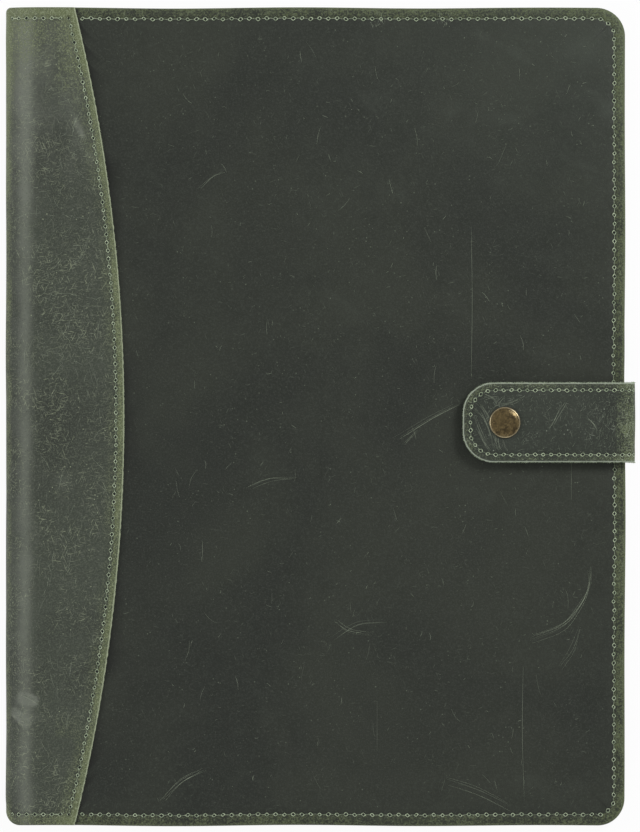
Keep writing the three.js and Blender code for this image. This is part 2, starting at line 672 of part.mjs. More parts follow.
// Snap socket under the strap
const studTop = PLY_GAP + STUD_HEIGHT;
const socketMouth = FRONT_PANEL_TOP + PLY_GAP + STUD_BASE_HEIGHT + CUT_GAP - socketTopZ;
const socketBore = STUD_HEAD_DIAMETER / 2 + HOLE_GAP;
const socketProfile = [
  [CAP_POST_DIAMETER / 2 + HOLE_GAP, 0],
  [CAP_POST_DIAMETER / 2 + HOLE_GAP, -SOCKET_PLATE],
  [socketBore, -SOCKET_PLATE],
  [socketBore, socketMouth],
  [SOCKET_DIAMETER / 2 - 0.3, socketMouth],
  [SOCKET_DIAMETER / 2, socketMouth + 0.3],
  [SOCKET_DIAMETER / 2, 0],
  [CAP_POST_DIAMETER / 2 + HOLE_GAP, 0],
];
place("snap_socket", turn(socketProfile, SNAP_X, SNAP_Y, socketTopZ), brassFinish());

// Snap stud on the cover, with its post down the eyelet
const studProfile = [
  [0, FRONT_BOARD_Z + EYELET_FLANGE - FRONT_PANEL_TOP],
  [STUD_POST_DIAMETER / 2, FRONT_BOARD_Z + EYELET_FLANGE - FRONT_PANEL_TOP],
  [STUD_POST_DIAMETER / 2, PLY_GAP],
  [STUD_BASE_DIAMETER / 2, PLY_GAP],
  [STUD_BASE_DIAMETER / 2, PLY_GAP + STUD_BASE_HEIGHT],
  [STUD_NECK_DIAMETER / 2, PLY_GAP + STUD_BASE_HEIGHT],
  [STUD_NECK_DIAMETER / 2, studTop - STUD_HEAD_HEIGHT],
  [STUD_HEAD_DIAMETER / 2, studTop - STUD_HEAD_HEIGHT / 2],
  [STUD_HEAD_DIAMETER / 2 - 0.4, studTop],
  [0, studTop],
];
place("snap_stud", turn(studProfile, SNAP_X, SNAP_Y, FRONT_PANEL_TOP), brassFinish());

// Eyelet that holds the stud, its flange let into the board under the lining
const eyeletProfile = [
  [STUD_POST_DIAMETER / 2 + HOLE_GAP, 0],
  [EYELET_FLANGE_DIAMETER / 2, 0],
  [EYELET_FLANGE_DIAMETER / 2, EYELET_FLANGE],
  [eyeletRadius, EYELET_FLANGE],
  [eyeletRadius, FRONT_PANEL_TOP - FRONT_BOARD_Z],
  [STUD_POST_DIAMETER / 2 + HOLE_GAP, FRONT_PANEL_TOP - FRONT_BOARD_Z],
  [STUD_POST_DIAMETER / 2 + HOLE_GAP, 0],
];
place("snap_eyelet", turn(eyeletProfile, SNAP_X, SNAP_Y, FRONT_BOARD_Z), brassFinish());

export default padfolio;
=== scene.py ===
# Leather padfolio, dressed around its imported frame.
# Flat pieces are laid out in millimetres as (u, y, h) and then wrapped round the folio:
# u runs over the back cover (negative), round the spine roll and across the front cover,
# y to the head of the page, and h is the height over the outer face.
import math

import bmesh
import bpy
import numpy as np
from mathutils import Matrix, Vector, kdtree


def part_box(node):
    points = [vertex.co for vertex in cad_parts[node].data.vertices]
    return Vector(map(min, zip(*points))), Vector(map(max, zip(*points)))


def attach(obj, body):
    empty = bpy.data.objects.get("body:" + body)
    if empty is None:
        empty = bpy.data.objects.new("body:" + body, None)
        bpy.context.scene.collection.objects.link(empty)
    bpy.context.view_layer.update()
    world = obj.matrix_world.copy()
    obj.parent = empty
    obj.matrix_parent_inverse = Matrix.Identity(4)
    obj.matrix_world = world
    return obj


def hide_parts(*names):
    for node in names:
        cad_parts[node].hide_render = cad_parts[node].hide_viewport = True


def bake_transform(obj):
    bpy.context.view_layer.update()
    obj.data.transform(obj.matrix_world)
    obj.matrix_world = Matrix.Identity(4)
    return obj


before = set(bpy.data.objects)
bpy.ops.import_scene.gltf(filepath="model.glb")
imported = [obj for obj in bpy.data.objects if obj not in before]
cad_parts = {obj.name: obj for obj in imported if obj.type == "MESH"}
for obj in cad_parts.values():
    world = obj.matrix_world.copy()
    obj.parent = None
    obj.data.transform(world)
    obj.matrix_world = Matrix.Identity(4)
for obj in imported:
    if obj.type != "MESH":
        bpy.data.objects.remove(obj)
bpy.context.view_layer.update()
MM = 0.001
rng = np.random.default_rng(7)


# Sizes taken from the frame, in millimetres
def node_box(name):
    """The low and high corner of a node of the frame."""
    low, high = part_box(name)
    return np.array(low) / MM, np.array(high) / MM


PANEL_LOW, PANEL_HIGH = node_box("front_panel_leather")
OVERLAY_HIGH = node_box("spine_overlay_front")[1]
FLAP_LOW, FLAP_HIGH = node_box("strap_flap_leather")
ANCHOR_LOW = node_box("strap_anchor")[0]
SIDE_HIGH = node_box("strap_side_leather")[1]
CAP_LOW, CAP_HIGH = node_box("snap_cap")
PAPER_LOW, PAPER_HIGH = node_box("paper_block")

FORE_X = PANEL_HIGH[0]
HEAD_Y = PANEL_HIGH[1]
TAIL_Y = PANEL_LOW[1]
SPINE_X = -FORE_X
TOP_Z = OVERLAY_HIGH[2]
ROLL = TOP_Z / 2
ROLL_X = SPINE_X + ROLL
ROLL_RUN = math.pi * ROLL
PANEL_STEP = TOP_Z - PANEL_HIGH[2]

# Stitching and edges
EDGE_ROW = 4.4
OVERLAY_ROW = 3.35
ROW_ROUND_ROLL = 8.4
STRAP_ROW = 3.0
EDGE_PITCH = 3.55
OVERLAY_PITCH = 3.26
STRAP_PITCH = 3.2
HOLE_RADIUS = 0.66
THREAD_RADIUS = 0.17
STITCH_DEPTH = 0.12
DIMPLE_RADIUS = 0.7
DIMPLE_DEPTH = 0.36
PANEL_DIMPLE_RADIUS = 0.75
PANEL_DIMPLE_DEPTH = 0.4
DARK_RADIUS = 0.95
HOLE_SHADE = 0.85
ROW_REACH = 1.6
PANEL_SHADE_REACH = 1.4
EDGE_WOBBLE = 0.16
ROW_WOBBLE = 0.08
ARC_AT_HEAD = 28.0
ARC_AT_MIDDLE = 48.0
ARC_RISE = ARC_AT_MIDDLE - ARC_AT_HEAD
ARC_RADIUS = (HEAD_Y ** 2 + ARC_RISE ** 2) / (2 * ARC_RISE)
ARC_CENTRE = SPINE_X + ARC_AT_MIDDLE - ARC_RADIUS


# Small number helpers
def smooth(x):
    x = np.clip(x, 0, 1)
    return x * x * (3 - 2 * x)


def bell(x, width):
    """1 at zero, falling off on both sides over the width."""
    return np.exp(-((x / width) ** 2))


def waves(a, b, size, seed):
    """A gentle random height field, about -1 to 1, made of a few sine waves of one size."""
    r = np.random.default_rng(seed)
    total = np.zeros_like(np.asarray(a, dtype=float))
    count = 6
    for _ in range(count):
        angle, phase = r.uniform(0, 2 * math.pi, 2)
        length = size * r.uniform(0.6, 1.6)
        run = np.asarray(a) * math.cos(angle) + np.asarray(b) * math.sin(angle)
        total += np.sin(2 * math.pi * run / length + phase)
    return total / math.sqrt(count)


def at_point(surface, *place):
    """The value of a surface function at one place."""
    return float(surface(*(np.array([v]) for v in place))[0])


def curve_through(points, per):
    """A smooth curve through the points, with per steps to each stretch."""
    points = [np.array(p, dtype=float) for p in points]
    out = []
    last = len(points) - 1
    for i in range(last):
        p0, p1, p2, p3 = points[max(i - 1, 0)], points[i], points[i + 1], points[min(i + 2, last)]
        for k in range(per):
            t = k / per
            bend = (2 * p0 - 5 * p1 + 4 * p2 - p3) * t ** 2 + (3 * p1 - p0 - 3 * p2 + p3) * t ** 3
            out.append(0.5 * (2 * p1 + (p2 - p0) * t + bend))
    out.append(points[-1])
    return np.array(out)


def arc_x(y, offset=0.0):
    """X of the overlay's edge, or of a line beside it, at height y."""
    return ARC_CENTRE + np.sqrt((ARC_RADIUS + offset) ** 2 - np.asarray(y) ** 2)


# Wrapping flat coordinates round the folio and along the strap
def wrap(p):
    """(u, y, h) to (x, y, z): back cover, spine roll, front cover."""
    u, y, h = p[:, 0], p[:, 1], p[:, 2]
    angle = np.clip(u / ROLL, 0, math.pi)
    x = ROLL_X - (ROLL + h) * np.sin(angle)
    z = ROLL - (ROLL + h) * np.cos(angle)
    x = np.where(u < 0, ROLL_X - u, x)
    x = np.where(u > ROLL_RUN, ROLL_X + u - ROLL_RUN, x)
    return np.stack([x, y, z], axis=1)


def plan_x(u):
    """X of the outer face at each place of a grid in flat coordinates."""
    flat = np.stack([u.ravel(), 0 * u.ravel(), 0 * u.ravel()], axis=1)
    return wrap(flat)[:, 0].reshape(u.shape)


def to_run(x):
    """The flat coordinate u of an x on the front cover."""
    return x - ROLL_X + ROLL_RUN


STRAP_BEND = 5.0
NOSE = 12.4
STRAP_OUT_X = SIDE_HIGH[0]
STRAP_TOP_Z = FLAP_HIGH[2]
STRAP_LOW_Z = ANCHOR_LOW[2]
STRAP_TIP_X = FLAP_LOW[0]
STRAP_Y = (FLAP_LOW[1] + FLAP_HIGH[1]) / 2
STRAP_HALF = (FLAP_HIGH[1] - FLAP_LOW[1]) / 2
BEND_X = STRAP_OUT_X - STRAP_BEND
BEND_RUN = STRAP_BEND * math.pi / 2
FLAP_RUN = BEND_X - STRAP_TIP_X
SIDE_RUN = STRAP_TOP_Z - STRAP_LOW_Z - 2 * STRAP_BEND
ANCHOR_RUN = BEND_X - ANCHOR_LOW[0]
STRAP_RUN = FLAP_RUN + 2 * BEND_RUN + SIDE_RUN + ANCHOR_RUN
STRAP_SPLIT = FLAP_RUN + BEND_RUN + SIDE_RUN / 2


def strap_map(p):
    """(run from the tip, y from the strap's middle, h) to (x, y, z)."""
    r, y, h = p[:, 0], p[:, 1] + STRAP_Y, p[:, 2]
    radius = STRAP_BEND + h
    high = np.clip((r - FLAP_RUN) / STRAP_BEND, 0, math.pi / 2)
    low = np.clip((r - FLAP_RUN - BEND_RUN - SIDE_RUN) / STRAP_BEND, 0, math.pi / 2)
    turned = high + low
    x = np.where(r < FLAP_RUN, STRAP_TIP_X + r, BEND_X + radius * np.sin(turned))
    centre = STRAP_TOP_Z - STRAP_BEND - np.clip(r - FLAP_RUN - BEND_RUN, 0, SIDE_RUN)
    z = centre + radius * np.cos(turned)
    past = r - (FLAP_RUN + 2 * BEND_RUN + SIDE_RUN)
    x = np.where(past > 0, BEND_X - past, x)
    return np.stack([x, y, z], axis=1)


# Meshes
def make_piece(name, points, faces, finish, slot, fields=None, sharp=40):
    """An object from points in millimetres, with its rest place and wear kept as attributes."""
    mesh = bpy.data.meshes.new(name)
    mesh.from_pydata((np.asarray(points) * MM).tolist(), [], faces)
    shell = bmesh.new()
    shell.from_mesh(mesh)
    bmesh.ops.recalc_face_normals(shell, faces=shell.faces)
    shell.to_mesh(mesh)
    shell.free()
    rest = mesh.attributes.new("rest", "FLOAT_VECTOR", "POINT")
    rest.data.foreach_set("vector", (np.asarray(points) * MM).astype(np.float32).ravel())
    for key, values in (fields or {}).items():
        field = mesh.attributes.new(key, "FLOAT", "POINT")
        field.data.foreach_set("value", np.asarray(values, dtype=np.float32))
    mesh.polygons.foreach_set("use_smooth", [True] * len(mesh.polygons))
    mesh.set_sharp_from_angle(angle=math.radians(sharp))
    for material in finish if isinstance(finish, (list, tuple)) else [finish]:
        mesh.materials.append(material)
    piece = bpy.data.objects.new(name, mesh)
    bpy.context.scene.collection.objects.link(piece)
    return piece


class Plate:
    """A flat plate with rounded corners, made of rings from its edge to its middle line."""

    def __init__(self, a0, a1, b0, b1, radii, step):
        self.box = (a0, a1, b0, b1)
        self.radii = radii
        self.loop = self._outline(step)

    def _outline(self, step):
        a0, a1, b0, b1 = self.box
        low_left, low_right, high_right, high_left = self.radii
        corners = [
            (a1 - low_right, b0 + low_right, low_right, -90),
            (a1 - high_right, b1 - high_right, high_right, 0),
            (a0 + high_left, b1 - high_left, high_left, 90),
            (a0 + low_left, b0 + low_left, low_left, 180),
        ]
        dense = []
        for a, b, radius, start in corners:
            dense += corner_arc(a, b, radius, start, start + 90, 25)
        dense = np.array(dense + dense[:1])
        run = line_run(dense)
        return along_line(dense, run, np.linspace(0, run[-1], int(run[-1] / step), endpoint=False))

    def inset(self, a, b):
        """Distance in from the outline."""
        a0, a1, b0, b1 = self.box
        low_left, low_right, high_right, high_left = self.radii
        ca, cb = (a0 + a1) / 2, (b0 + b1) / 2
        right, high = a > ca, b > cb
        radius = np.where(right, np.where(high, high_right, low_right), np.where(high, high_left, low_left))
        qa = np.abs(a - ca) - (a1 - a0) / 2 + radius
        qb = np.abs(b - cb) - (b1 - b0) / 2 + radius
        outside = np.hypot(np.maximum(qa, 0), np.maximum(qb, 0))
        return radius - outside - np.minimum(np.maximum(qa, qb), 0)

    def rings(self, margin, near, far_count):
        """Rings of points: near lists insets up to margin, and far_count rings go on to the middle."""
        a0, a1, b0, b1 = self.box
        loop = self.loop
        core = np.stack([
            np.clip(loop[:, 0], a0 + margin, a1 - margin),
            np.clip(loop[:, 1], b0 + margin, b1 - margin),
        ], axis=1)
        ca, cb = (a0 + a1) / 2, (b0 + b1) / 2
        half_a, half_b = (a1 - a0) / 2 - margin, (b1 - b0) / 2 - margin
        if half_b >= half_a:
            spare = half_b - half_a
            middle = np.stack([np.full(len(loop), ca), np.clip(core[:, 1], cb - spare, cb + spare)], axis=1)
        else:
            spare = half_a - half_b
            middle = np.stack([np.clip(core[:, 0], ca - spare, ca + spare), np.full(len(loop), cb)], axis=1)
        out = [loop + (core - loop) * (d / margin) for d in near]
        for i in range(1, far_count + 1):
            out.append(core + (middle - core) * (i / (far_count + 0.35)))
        return out


def ring_faces(ring_count, n):
    """Quads between closed rings of n points each, and the first and last ring closed by one face."""
    faces = []
    for k in range(ring_count - 1):
        base = k * n
        for i in range(n):
            j = (i + 1) % n
            faces.append((base + i, base + n + i, base + n + j, base + j))
    faces.append(tuple(range(n)))
    last = (ring_count - 1) * n
    faces.append(tuple(range(last + n - 1, last - 1, -1)))
    return faces


BORDER = 7.0
NEAR = [0.04, 0.15, 0.35, 0.65, 1.0, 1.4, 1.9, 2.5, 3.0, 3.4, 3.8, 4.1, 4.4, 4.7, 5.0, 5.5, 6.2, BORDER]


def plate_piece(name, plate, mapping, top, walls, finish, slot, near=NEAR, far=14, fields=None):
    """A closed plate: its top from the middle outwards, then walls as (inset, h) rings to the underside."""
    rings = plate.rings(BORDER, near, far)[::-1]
    flat = []
    for ring in rings:
        h = top(ring[:, 0], ring[:, 1], plate.inset(ring[:, 0], ring[:, 1]))
        flat.append(np.column_stack([ring, h]))
    for d, h in walls:
        ring = plate.rings(BORDER, [d], 0)[0]
        level = h(ring[:, 0], ring[:, 1]) if callable(h) else np.full(len(ring), float(h))
        flat.append(np.column_stack([ring, level]))
    n = len(plate.loop)
    points = np.concatenate(flat)
    faces = ring_faces(len(flat), n)
    values = {}
    insets = plate.inset(points[:, 0], points[:, 1])
    for key, field in (fields or {}).items():
        values[key] = field(points[:, 0], points[:, 1], insets, points[:, 2])
    return make_piece(name, mapping(points), faces, finish, slot, values)


def rounded_edge(inset, radius):
    """How far a rounded edge lies under the face, at a distance in from the outline."""
    inside = np.clip(radius - inset, 0, radius)
    return radius - np.sqrt(np.maximum(radius ** 2 - inside ** 2, 0))


# Rows of holes
def line_run(line):
    """The run along a line at each of its points."""
    return np.concatenate([[0], np.cumsum(np.hypot(*np.diff(line, axis=0).T))])


def along_line(line, run, at):
    """The places at the given runs along a line."""
    return np.stack([np.interp(at, run, line[:, 0]), np.interp(at, run, line[:, 1])], axis=-1)


def spaced(points, pitch, wobble=0.0):
    """Points every pitch or so along a line, each a little to one side or the other."""
    points = np.asarray(points, dtype=float)
    run = line_run(points)
    count = max(2, int(round(run[-1] / pitch)) + 1)
    place = along_line(points, run, np.linspace(0, run[-1], count))
    way = np.gradient(place, axis=0)
    way /= np.linalg.norm(way, axis=1)[:, None]
    aside = np.where(np.arange(count) % 2, 0.6, -0.6) * wobble + rng.normal(0, wobble * 0.5, count)
    return place + np.stack([-way[:, 1], way[:, 0]], axis=1) * aside[:, None]


def corner_arc(a, b, radius, start, end, count=10):
    """Points of an arc round (a, b), between two angles in degrees."""
    angles = np.radians(np.linspace(start, end, count))
    return [(a + radius * math.cos(t), b + radius * math.sin(t)) for t in angles]


FAR = 9.0


def hole_field(rows):
    """A function that gives the distance to the nearest hole where the mask is set, and FAR elsewhere."""
    holes = np.concatenate(rows)
    tree = kdtree.KDTree(len(holes))
    for i, (a, b) in enumerate(holes):
        tree.insert((a, b, 0), i)
    tree.balance()

    def distance(a, b, mask):
        out = np.full(len(a), FAR)
        for i in np.nonzero(mask)[0]:
            out[i] = tree.find((a[i], b[i], 0))[2]
        return out

    return distance


def torus_faces(steps, sides, closed=True):
    """Quads between profiles of points that go round in a ring; the profile is closed or open."""
    quads = []
    for m in range(steps):
        for s in range(sides if closed else sides - 1):
            m2, s2 = (m + 1) % steps, (s + 1) % sides
            quads.append((m * sides + s, m2 * sides + s, m2 * sides + s2, m * sides + s2))
    return quads


def disc_faces(steps):
    """A thin disc: an upper and a lower fan, each round its own middle point, and the wall between them."""
    after = [(m + 1) % steps for m in range(steps)]
    low = steps + 1
    faces = [(0, 1 + m, 1 + after[m]) for m in range(steps)]
    faces += [(low, low + 1 + after[m], low + 1 + m) for m in range(steps)]
    faces += [(1 + m, low + 1 + m, low + 1 + after[m], 1 + after[m]) for m in range(steps)]
    return faces


RING_STEPS = 8
THREAD_SIDES = 4
LINK_STEPS = 4


def stitch_row(name, rows, lift, mapping):
    """Stitches along rows of holes: a ring of thread round each hole with a near-black disc in it as painted
    shade, and thread between holes.
    """
    points, faces, kinds = [], [], []
    ring_quads = torus_faces(RING_STEPS, THREAD_SIDES)
    hole_quads = disc_faces(RING_STEPS)
    link_quads = ring_faces(LINK_STEPS + 1, THREAD_SIDES)
    ring_turns = [2 * math.pi * m / RING_STEPS for m in range(RING_STEPS)]
    thread_turns = [2 * math.pi * s / THREAD_SIDES for s in range(THREAD_SIDES)]

    def add(shape, quads, kind):
        base = len(points)
        points.extend(shape)
        faces.extend([tuple(base + k for k in face) for face in quads])
        kinds.extend([kind] * len(quads))

    for row in rows:
        for i, (a, b) in enumerate(row):
            h0 = lift(a, b) - STITCH_DEPTH
            along = np.array(row[min(i + 1, len(row) - 1)]) - np.array(row[max(i - 1, 0)])
            along = along / np.linalg.norm(along)
            side = np.array([-along[1], along[0]])
            grow = rng.uniform(0.85, 1.12)
            skew = rng.uniform(-0.16, 0.16)
            ring, hole = [], [(a, b, h0 + 0.02)]
            for m, t in enumerate(ring_turns):
                thick = THREAD_RADIUS * (0.62 + 0.6 * abs(math.sin(t + skew * 6)))
                for w in thread_turns:
                    radius = HOLE_RADIUS * grow * (1.14 if m % 2 == 0 else 0.88) + thick * math.cos(w)
                    aside = radius * math.sin(t) + skew * math.cos(t)
                    local = along * radius * math.cos(t) * 1.12 + side * aside
                    ring.append((a + local[0], b + local[1], h0 + 0.06 + thick * math.sin(w)))
                local = along * math.cos(t) * 1.1 + side * math.sin(t)
                hole.append((a + local[0] * HOLE_RADIUS * grow, b + local[1] * HOLE_RADIUS * grow, h0 + 0.07))
            add(ring, ring_quads, 0)
            # A near-black disc in each hole: painted shade in the needle hole.
            add(hole + [(x, y, h - 0.2) for x, y, h in hole], hole_quads, 1)
            if i + 1 == len(row):
                continue
            start = np.array([a, b]) + along * HOLE_RADIUS * 1.2
            end = np.array(row[i + 1]) - along * HOLE_RADIUS * 1.2
            drift = rng.uniform(-0.12, 0.12)
            link = []
            for k in range(LINK_STEPS + 1):
                arch = math.sin(math.pi * k / LINK_STEPS)
                middle = start + (end - start) * (k / LINK_STEPS) + side * drift * arch
                radius = THREAD_RADIUS * (0.45 + 0.25 * arch)
                for w in thread_turns:
                    spot = middle + side * radius * 1.2 * math.cos(w)
                    link.append((spot[0], spot[1], h0 - 0.02 + 0.08 * arch + radius * math.sin(w)))
            add(link, link_quads, 0)
    finishes = [thread_finish, hole_shade_finish]
    piece = make_piece(name, mapping(np.array(points)), faces, finishes, "thread", sharp=80)
    piece.data.polygons.foreach_set("material_index", kinds)
    return piece


# Materials
class Shader:
    """A principled material with a few short ways to add nodes."""

    def __init__(self, name):
        self.material = bpy.data.materials.new(name)
        self.material.use_nodes = True
        self.tree = self.material.node_tree
        self.bsdf = self.tree.nodes["Principled BSDF"]
        self.place = self.node("ShaderNodeAttribute", attribute_name="rest").outputs["Vector"]

    def node(self, kind, **settings):
        made = self.tree.nodes.new(kind)
        for key, value in settings.items():
            setattr(made, key, value)
        return made

    def put(self, value, socket):
        """Sets a plain value on a socket, or links a source to it."""
        if isinstance(value, (int, float, tuple)):
            socket.default_value = value
        else:
            self.tree.links.new(value, socket)

    def set(self, node, **values):
        for key, value in values.items():
            self.put(value, node.inputs[key.replace("_", " ")])

    def field(self, name):
        return self.node("ShaderNodeAttribute", attribute_name=name).outputs["Fac"]

    def stretched(self, turn, scale, shift):
        """The rest place, turned about Z by degrees, shifted and stretched."""
        turned = self.node("ShaderNodeMapping")
        self.set(
            turned, Vector=self.place, Location=(shift, shift * 0.7, 0), Rotation=(0, 0, math.radians(turn)),
        )
        stretch = self.node("ShaderNodeMapping")
        self.set(stretch, Vector=turned.outputs["Vector"], Scale=scale)
        return stretch.outputs["Vector"]

    def noise(self, scale, detail, rough, vector=None, warp=0.0):
        made = self.node("ShaderNodeTexNoise")
        self.set(
            made, Vector=vector or self.place, Scale=scale, Detail=detail, Roughness=rough, Distortion=warp,
        )
        return made.outputs["Fac"]

    def cells(self, scale, vector):
        made = self.node("ShaderNodeTexVoronoi")
        self.set(made, Vector=vector, Scale=scale)
        return made.outputs["Distance"]

    def ramp(self, source, low, high, bottom=0.0, top=1.0):
        """Source from low to high becomes bottom to top."""
        made = self.node("ShaderNodeMapRange", interpolation_type="SMOOTHSTEP")
        self.set(made, Value=source, From_Min=low, From_Max=high, To_Min=bottom, To_Max=top)
        return made.outputs["Result"]

    def maths(self, operation, a, b):
        made = self.node("ShaderNodeMath", operation=operation)
        self.put(a, made.inputs[0])
        self.put(b, made.inputs[1])
        return made.outputs["Value"]

    def mix(self, amount, a, b):
        """Colour a turning to colour b with the amount."""
        made = self.node("ShaderNodeMix", data_type="RGBA")
        self.put(amount, made.inputs["Factor"])
        for key, value in (("A", a), ("B", b)):
            self.put(value, [s for s in made.inputs if s.name == key and s.type == "RGBA"][0])
        return [s for s in made.outputs if s.type == "RGBA"][0]

    def finish(self, colour, roughness, height, lift, strength):
        """The material, with a bump from height whose full lift is in millimetres."""
        bump = self.node("ShaderNodeBump")
        self.set(bump, Height=height, Distance=lift * MM, Strength=strength)
        self.set(self.bsdf, Base_Color=colour, Roughness=roughness, Normal=bump.outputs["Normal"])
        return self.material


def rgb(r, g, b):
    """A colour given as screen values from 0 to 255."""
    shares = [c / 255 for c in (r, g, b)]
    linear = [c / 12.92 if c <= 0.04045 else ((c + 0.055) / 1.055) ** 2.4 for c in shares]
    return (*linear, 1.0)


def fibres(s, share, turns, seed):
    """Fine short pale hairs in a few directions, 0 to 1."""
    total = None
    for i, turn in enumerate(turns):
        thin = s.stretched(turn, (230, 3100, 1200), seed + i * 0.37)
        line = s.ramp(s.noise(1.0, 2.0, 0.6, thin, 0.05), share, share + 0.07)
        total = line if total is None else s.maths("MAXIMUM", total, line)
    return total


def leather(name, colours, hair_share, seed, dust):
    """Waxed pull-up leather: cloudy tone, fine grain, pale hairs and paler worn edges."""
    s = Shader(name)
    dark, base, light, worn, hair = [rgb(*colour) for colour in colours]
    shifted = s.stretched(0, (1, 1, 1), seed)
    cloud = s.noise(17, 5, 0.55, shifted, 0.4)
    tone = s.mix(s.ramp(cloud, 0.34, 0.66), dark, base)
    pale_cloud = s.noise(42, 6, 0.62, s.stretched(30, (1, 1.6, 1), seed + 2), 0.6)
    # The pale field carries the painted sheen of the panel and the painted highlight along the spine roll,
    # with the overlay's wax smears.
    pale = s.maths("ADD", s.ramp(pale_cloud, 0.52, 0.85, 0, 0.35), s.field("pale"))
    tone = s.mix(s.ramp(pale, 0.0, 1.0), tone, light)
    tone = s.mix(s.ramp(s.noise(1500, 3, 0.7), 0.42, 0.75, 0, 0.45), tone, light)
    tone = s.mix(s.ramp(s.noise(2100, 2, 0.6, shifted), 0.56, 0.74, 0, 0.55), tone, dark)
    hairs = fibres(s, hair_share, (9, 68, 118, 163), seed)
    patches = s.ramp(s.noise(70, 4, 0.6), 0.4, 0.62, 0.12, 0.6)
    tone = s.mix(s.maths("MULTIPLY", hairs, patches), tone, hair)
    specks = s.ramp(s.cells(520, s.stretched(8, (1, 1, 1), seed)), 0.09, 0.15, 1, 0)
    specks = s.maths("MULTIPLY", specks, s.ramp(s.noise(130, 3, 0.6), 0.5, 0.66, 0.0, dust))
    tone = s.mix(specks, tone, hair)
    speckle = s.ramp(s.noise(1500, 5, 0.8), 0.4, 0.6, -0.36, 0.36)
    speckle = s.maths("ADD", speckle, s.ramp(s.noise(75, 4, 0.6), 0.35, 0.65, -0.16, 0.16))
    wear = s.maths("ADD", s.field("wear"), s.maths("MULTIPLY", speckle, s.ramp(s.field("wear"), 0.0, 0.3)))
    tone = s.mix(s.ramp(wear, 0.15, 1.0, 0, 0.95), tone, worn)
    flecks = s.maths("MULTIPLY", s.ramp(s.noise(2300, 3, 0.7), 0.48, 0.62), s.ramp(wear, 0.25, 0.9, 0, 0.6))
    tone = s.mix(flecks, tone, hair)
    # The raw field paints the pale cut edge; on the overlay it is also a painted highlight where the edge
    # catches the light.
    tone = s.mix(s.field("raw"), tone, hair)
    tone = s.mix(s.field("shade"), tone, rgb(14, 15, 12))
    pores = s.cells(1900, s.stretched(20, (1, 1.2, 1), seed))
    grain = s.maths("ADD", s.noise(900, 6, 0.6), s.maths("MULTIPLY", pores, 0.5))
    grain = s.maths("ADD", grain, s.maths("MULTIPLY", hairs, 0.35))
    rough = s.ramp(s.noise(140, 5, 0.6), 0.3, 0.7, 0.5, 0.68)
    s.bsdf.inputs["Specular IOR Level"].default_value = 0.2
    return s.finish(tone, rough, grain, 0.16, 0.55)


def plain(name, dark, light, roughness, scale, height_scale, lift):
    """A cloudy two-tone finish with a fine bump."""
    s = Shader(name)
    tone = s.mix(s.ramp(s.noise(scale, 5, 0.6), 0.35, 0.65), rgb(*dark), rgb(*light))
    fine = s.noise(height_scale, 4, 0.6)
    tone = s.mix(s.ramp(fine, 0.45, 0.75, 0, 0.4), tone, rgb(*light))
    return s.finish(tone, roughness, fine, lift, 0.6)


def brass(name):
    """Antique brass: brown patina in speckles over a brighter metal, which shows at rubbed edges."""
    s = Shader(name)
    s.bsdf.inputs["Metallic"].default_value = 0.85
    patina = s.mix(s.ramp(s.noise(520, 6, 0.7), 0.38, 0.62), rgb(50, 42, 26), rgb(82, 70, 45))
    spots = s.ramp(s.noise(1500, 3, 0.7), 0.5, 0.68)
    patina = s.mix(spots, patina, rgb(104, 90, 61))
    bright = s.mix(s.field("wear"), patina, rgb(176, 164, 134))
    rough = s.ramp(s.noise(700, 4, 0.6), 0.35, 0.7, 0.2, 0.36)
    return s.finish(bright, rough, s.noise(1300, 4, 0.65), 0.08, 0.5)


def cloth(name, dark, light, pitch):
    """A plain weave: two crossing wave patterns."""
    s = Shader(name)
    bands = []
    for direction in ("X", "Y"):
        wave = s.node("ShaderNodeTexWave", bands_direction=direction)
        s.set(wave, Vector=s.place, Scale=math.pi / 10 / (pitch * MM), Distortion=0.6, Detail=2.0)
        bands.append(wave.outputs["Fac"])
    weave = s.maths("MAXIMUM", *bands)
    tone = s.mix(s.ramp(weave, 0.2, 0.95), rgb(*dark), rgb(*light))
    tone = s.mix(s.ramp(s.noise(60, 4, 0.6), 0.35, 0.7, 0, 0.5), tone, rgb(*dark))
    s.bsdf.inputs["Sheen Weight"].default_value = 0.2
    return s.finish(tone, 0.85, weave, 0.12, 0.6)


LINE_PITCH = 8.0
LINE_SHARE = 0.035
PAGE_HEAD = 40.0
SHEET_PITCH = 0.1


def page(name):
    """Writing paper with fibres, and pale printed lines on the face of the top sheet."""
    s = Shader(name)
    tone = s.mix(s.ramp(s.noise(800, 5, 0.7), 0.35, 0.7), rgb(243, 240, 228), rgb(232, 228, 214))
    split = s.node("ShaderNodeSeparateXYZ")
    s.set(split, Vector=s.place)
    phase = s.maths("FRACT", s.maths("DIVIDE", split.outputs["Y"], LINE_PITCH * MM), 0)
    line = s.maths("LESS_THAN", phase, LINE_SHARE)
    above = s.maths("GREATER_THAN", split.outputs["Z"], (PAPER_HIGH[2] - 0.09) * MM)
    in_reach = s.maths("LESS_THAN", split.outputs["Y"], (PAPER_HIGH[1] - PAGE_HEAD) * MM)
    printed = s.maths("MULTIPLY", s.maths("MULTIPLY", line, above), in_reach)
    tone = s.mix(printed, tone, rgb(150, 165, 180))
    return s.finish(tone, 0.8, s.noise(1400, 3, 0.6), 0.03, 0.5)


def mark_material():
    """Rubbed wax: from the leather's tone to a pale line, by each mark's own strength."""
    s = Shader("waxed_mark")
    tone = s.mix(s.field("pale"), rgb(56, 60, 51), rgb(150, 160, 138))
    tone = s.mix(s.ramp(s.noise(900, 3, 0.6), 0.45, 0.7, 0, 0.5), tone, rgb(70, 75, 62))
    return s.finish(tone, 0.65, s.noise(2500, 3, 0.6), 0.04, 0.5)


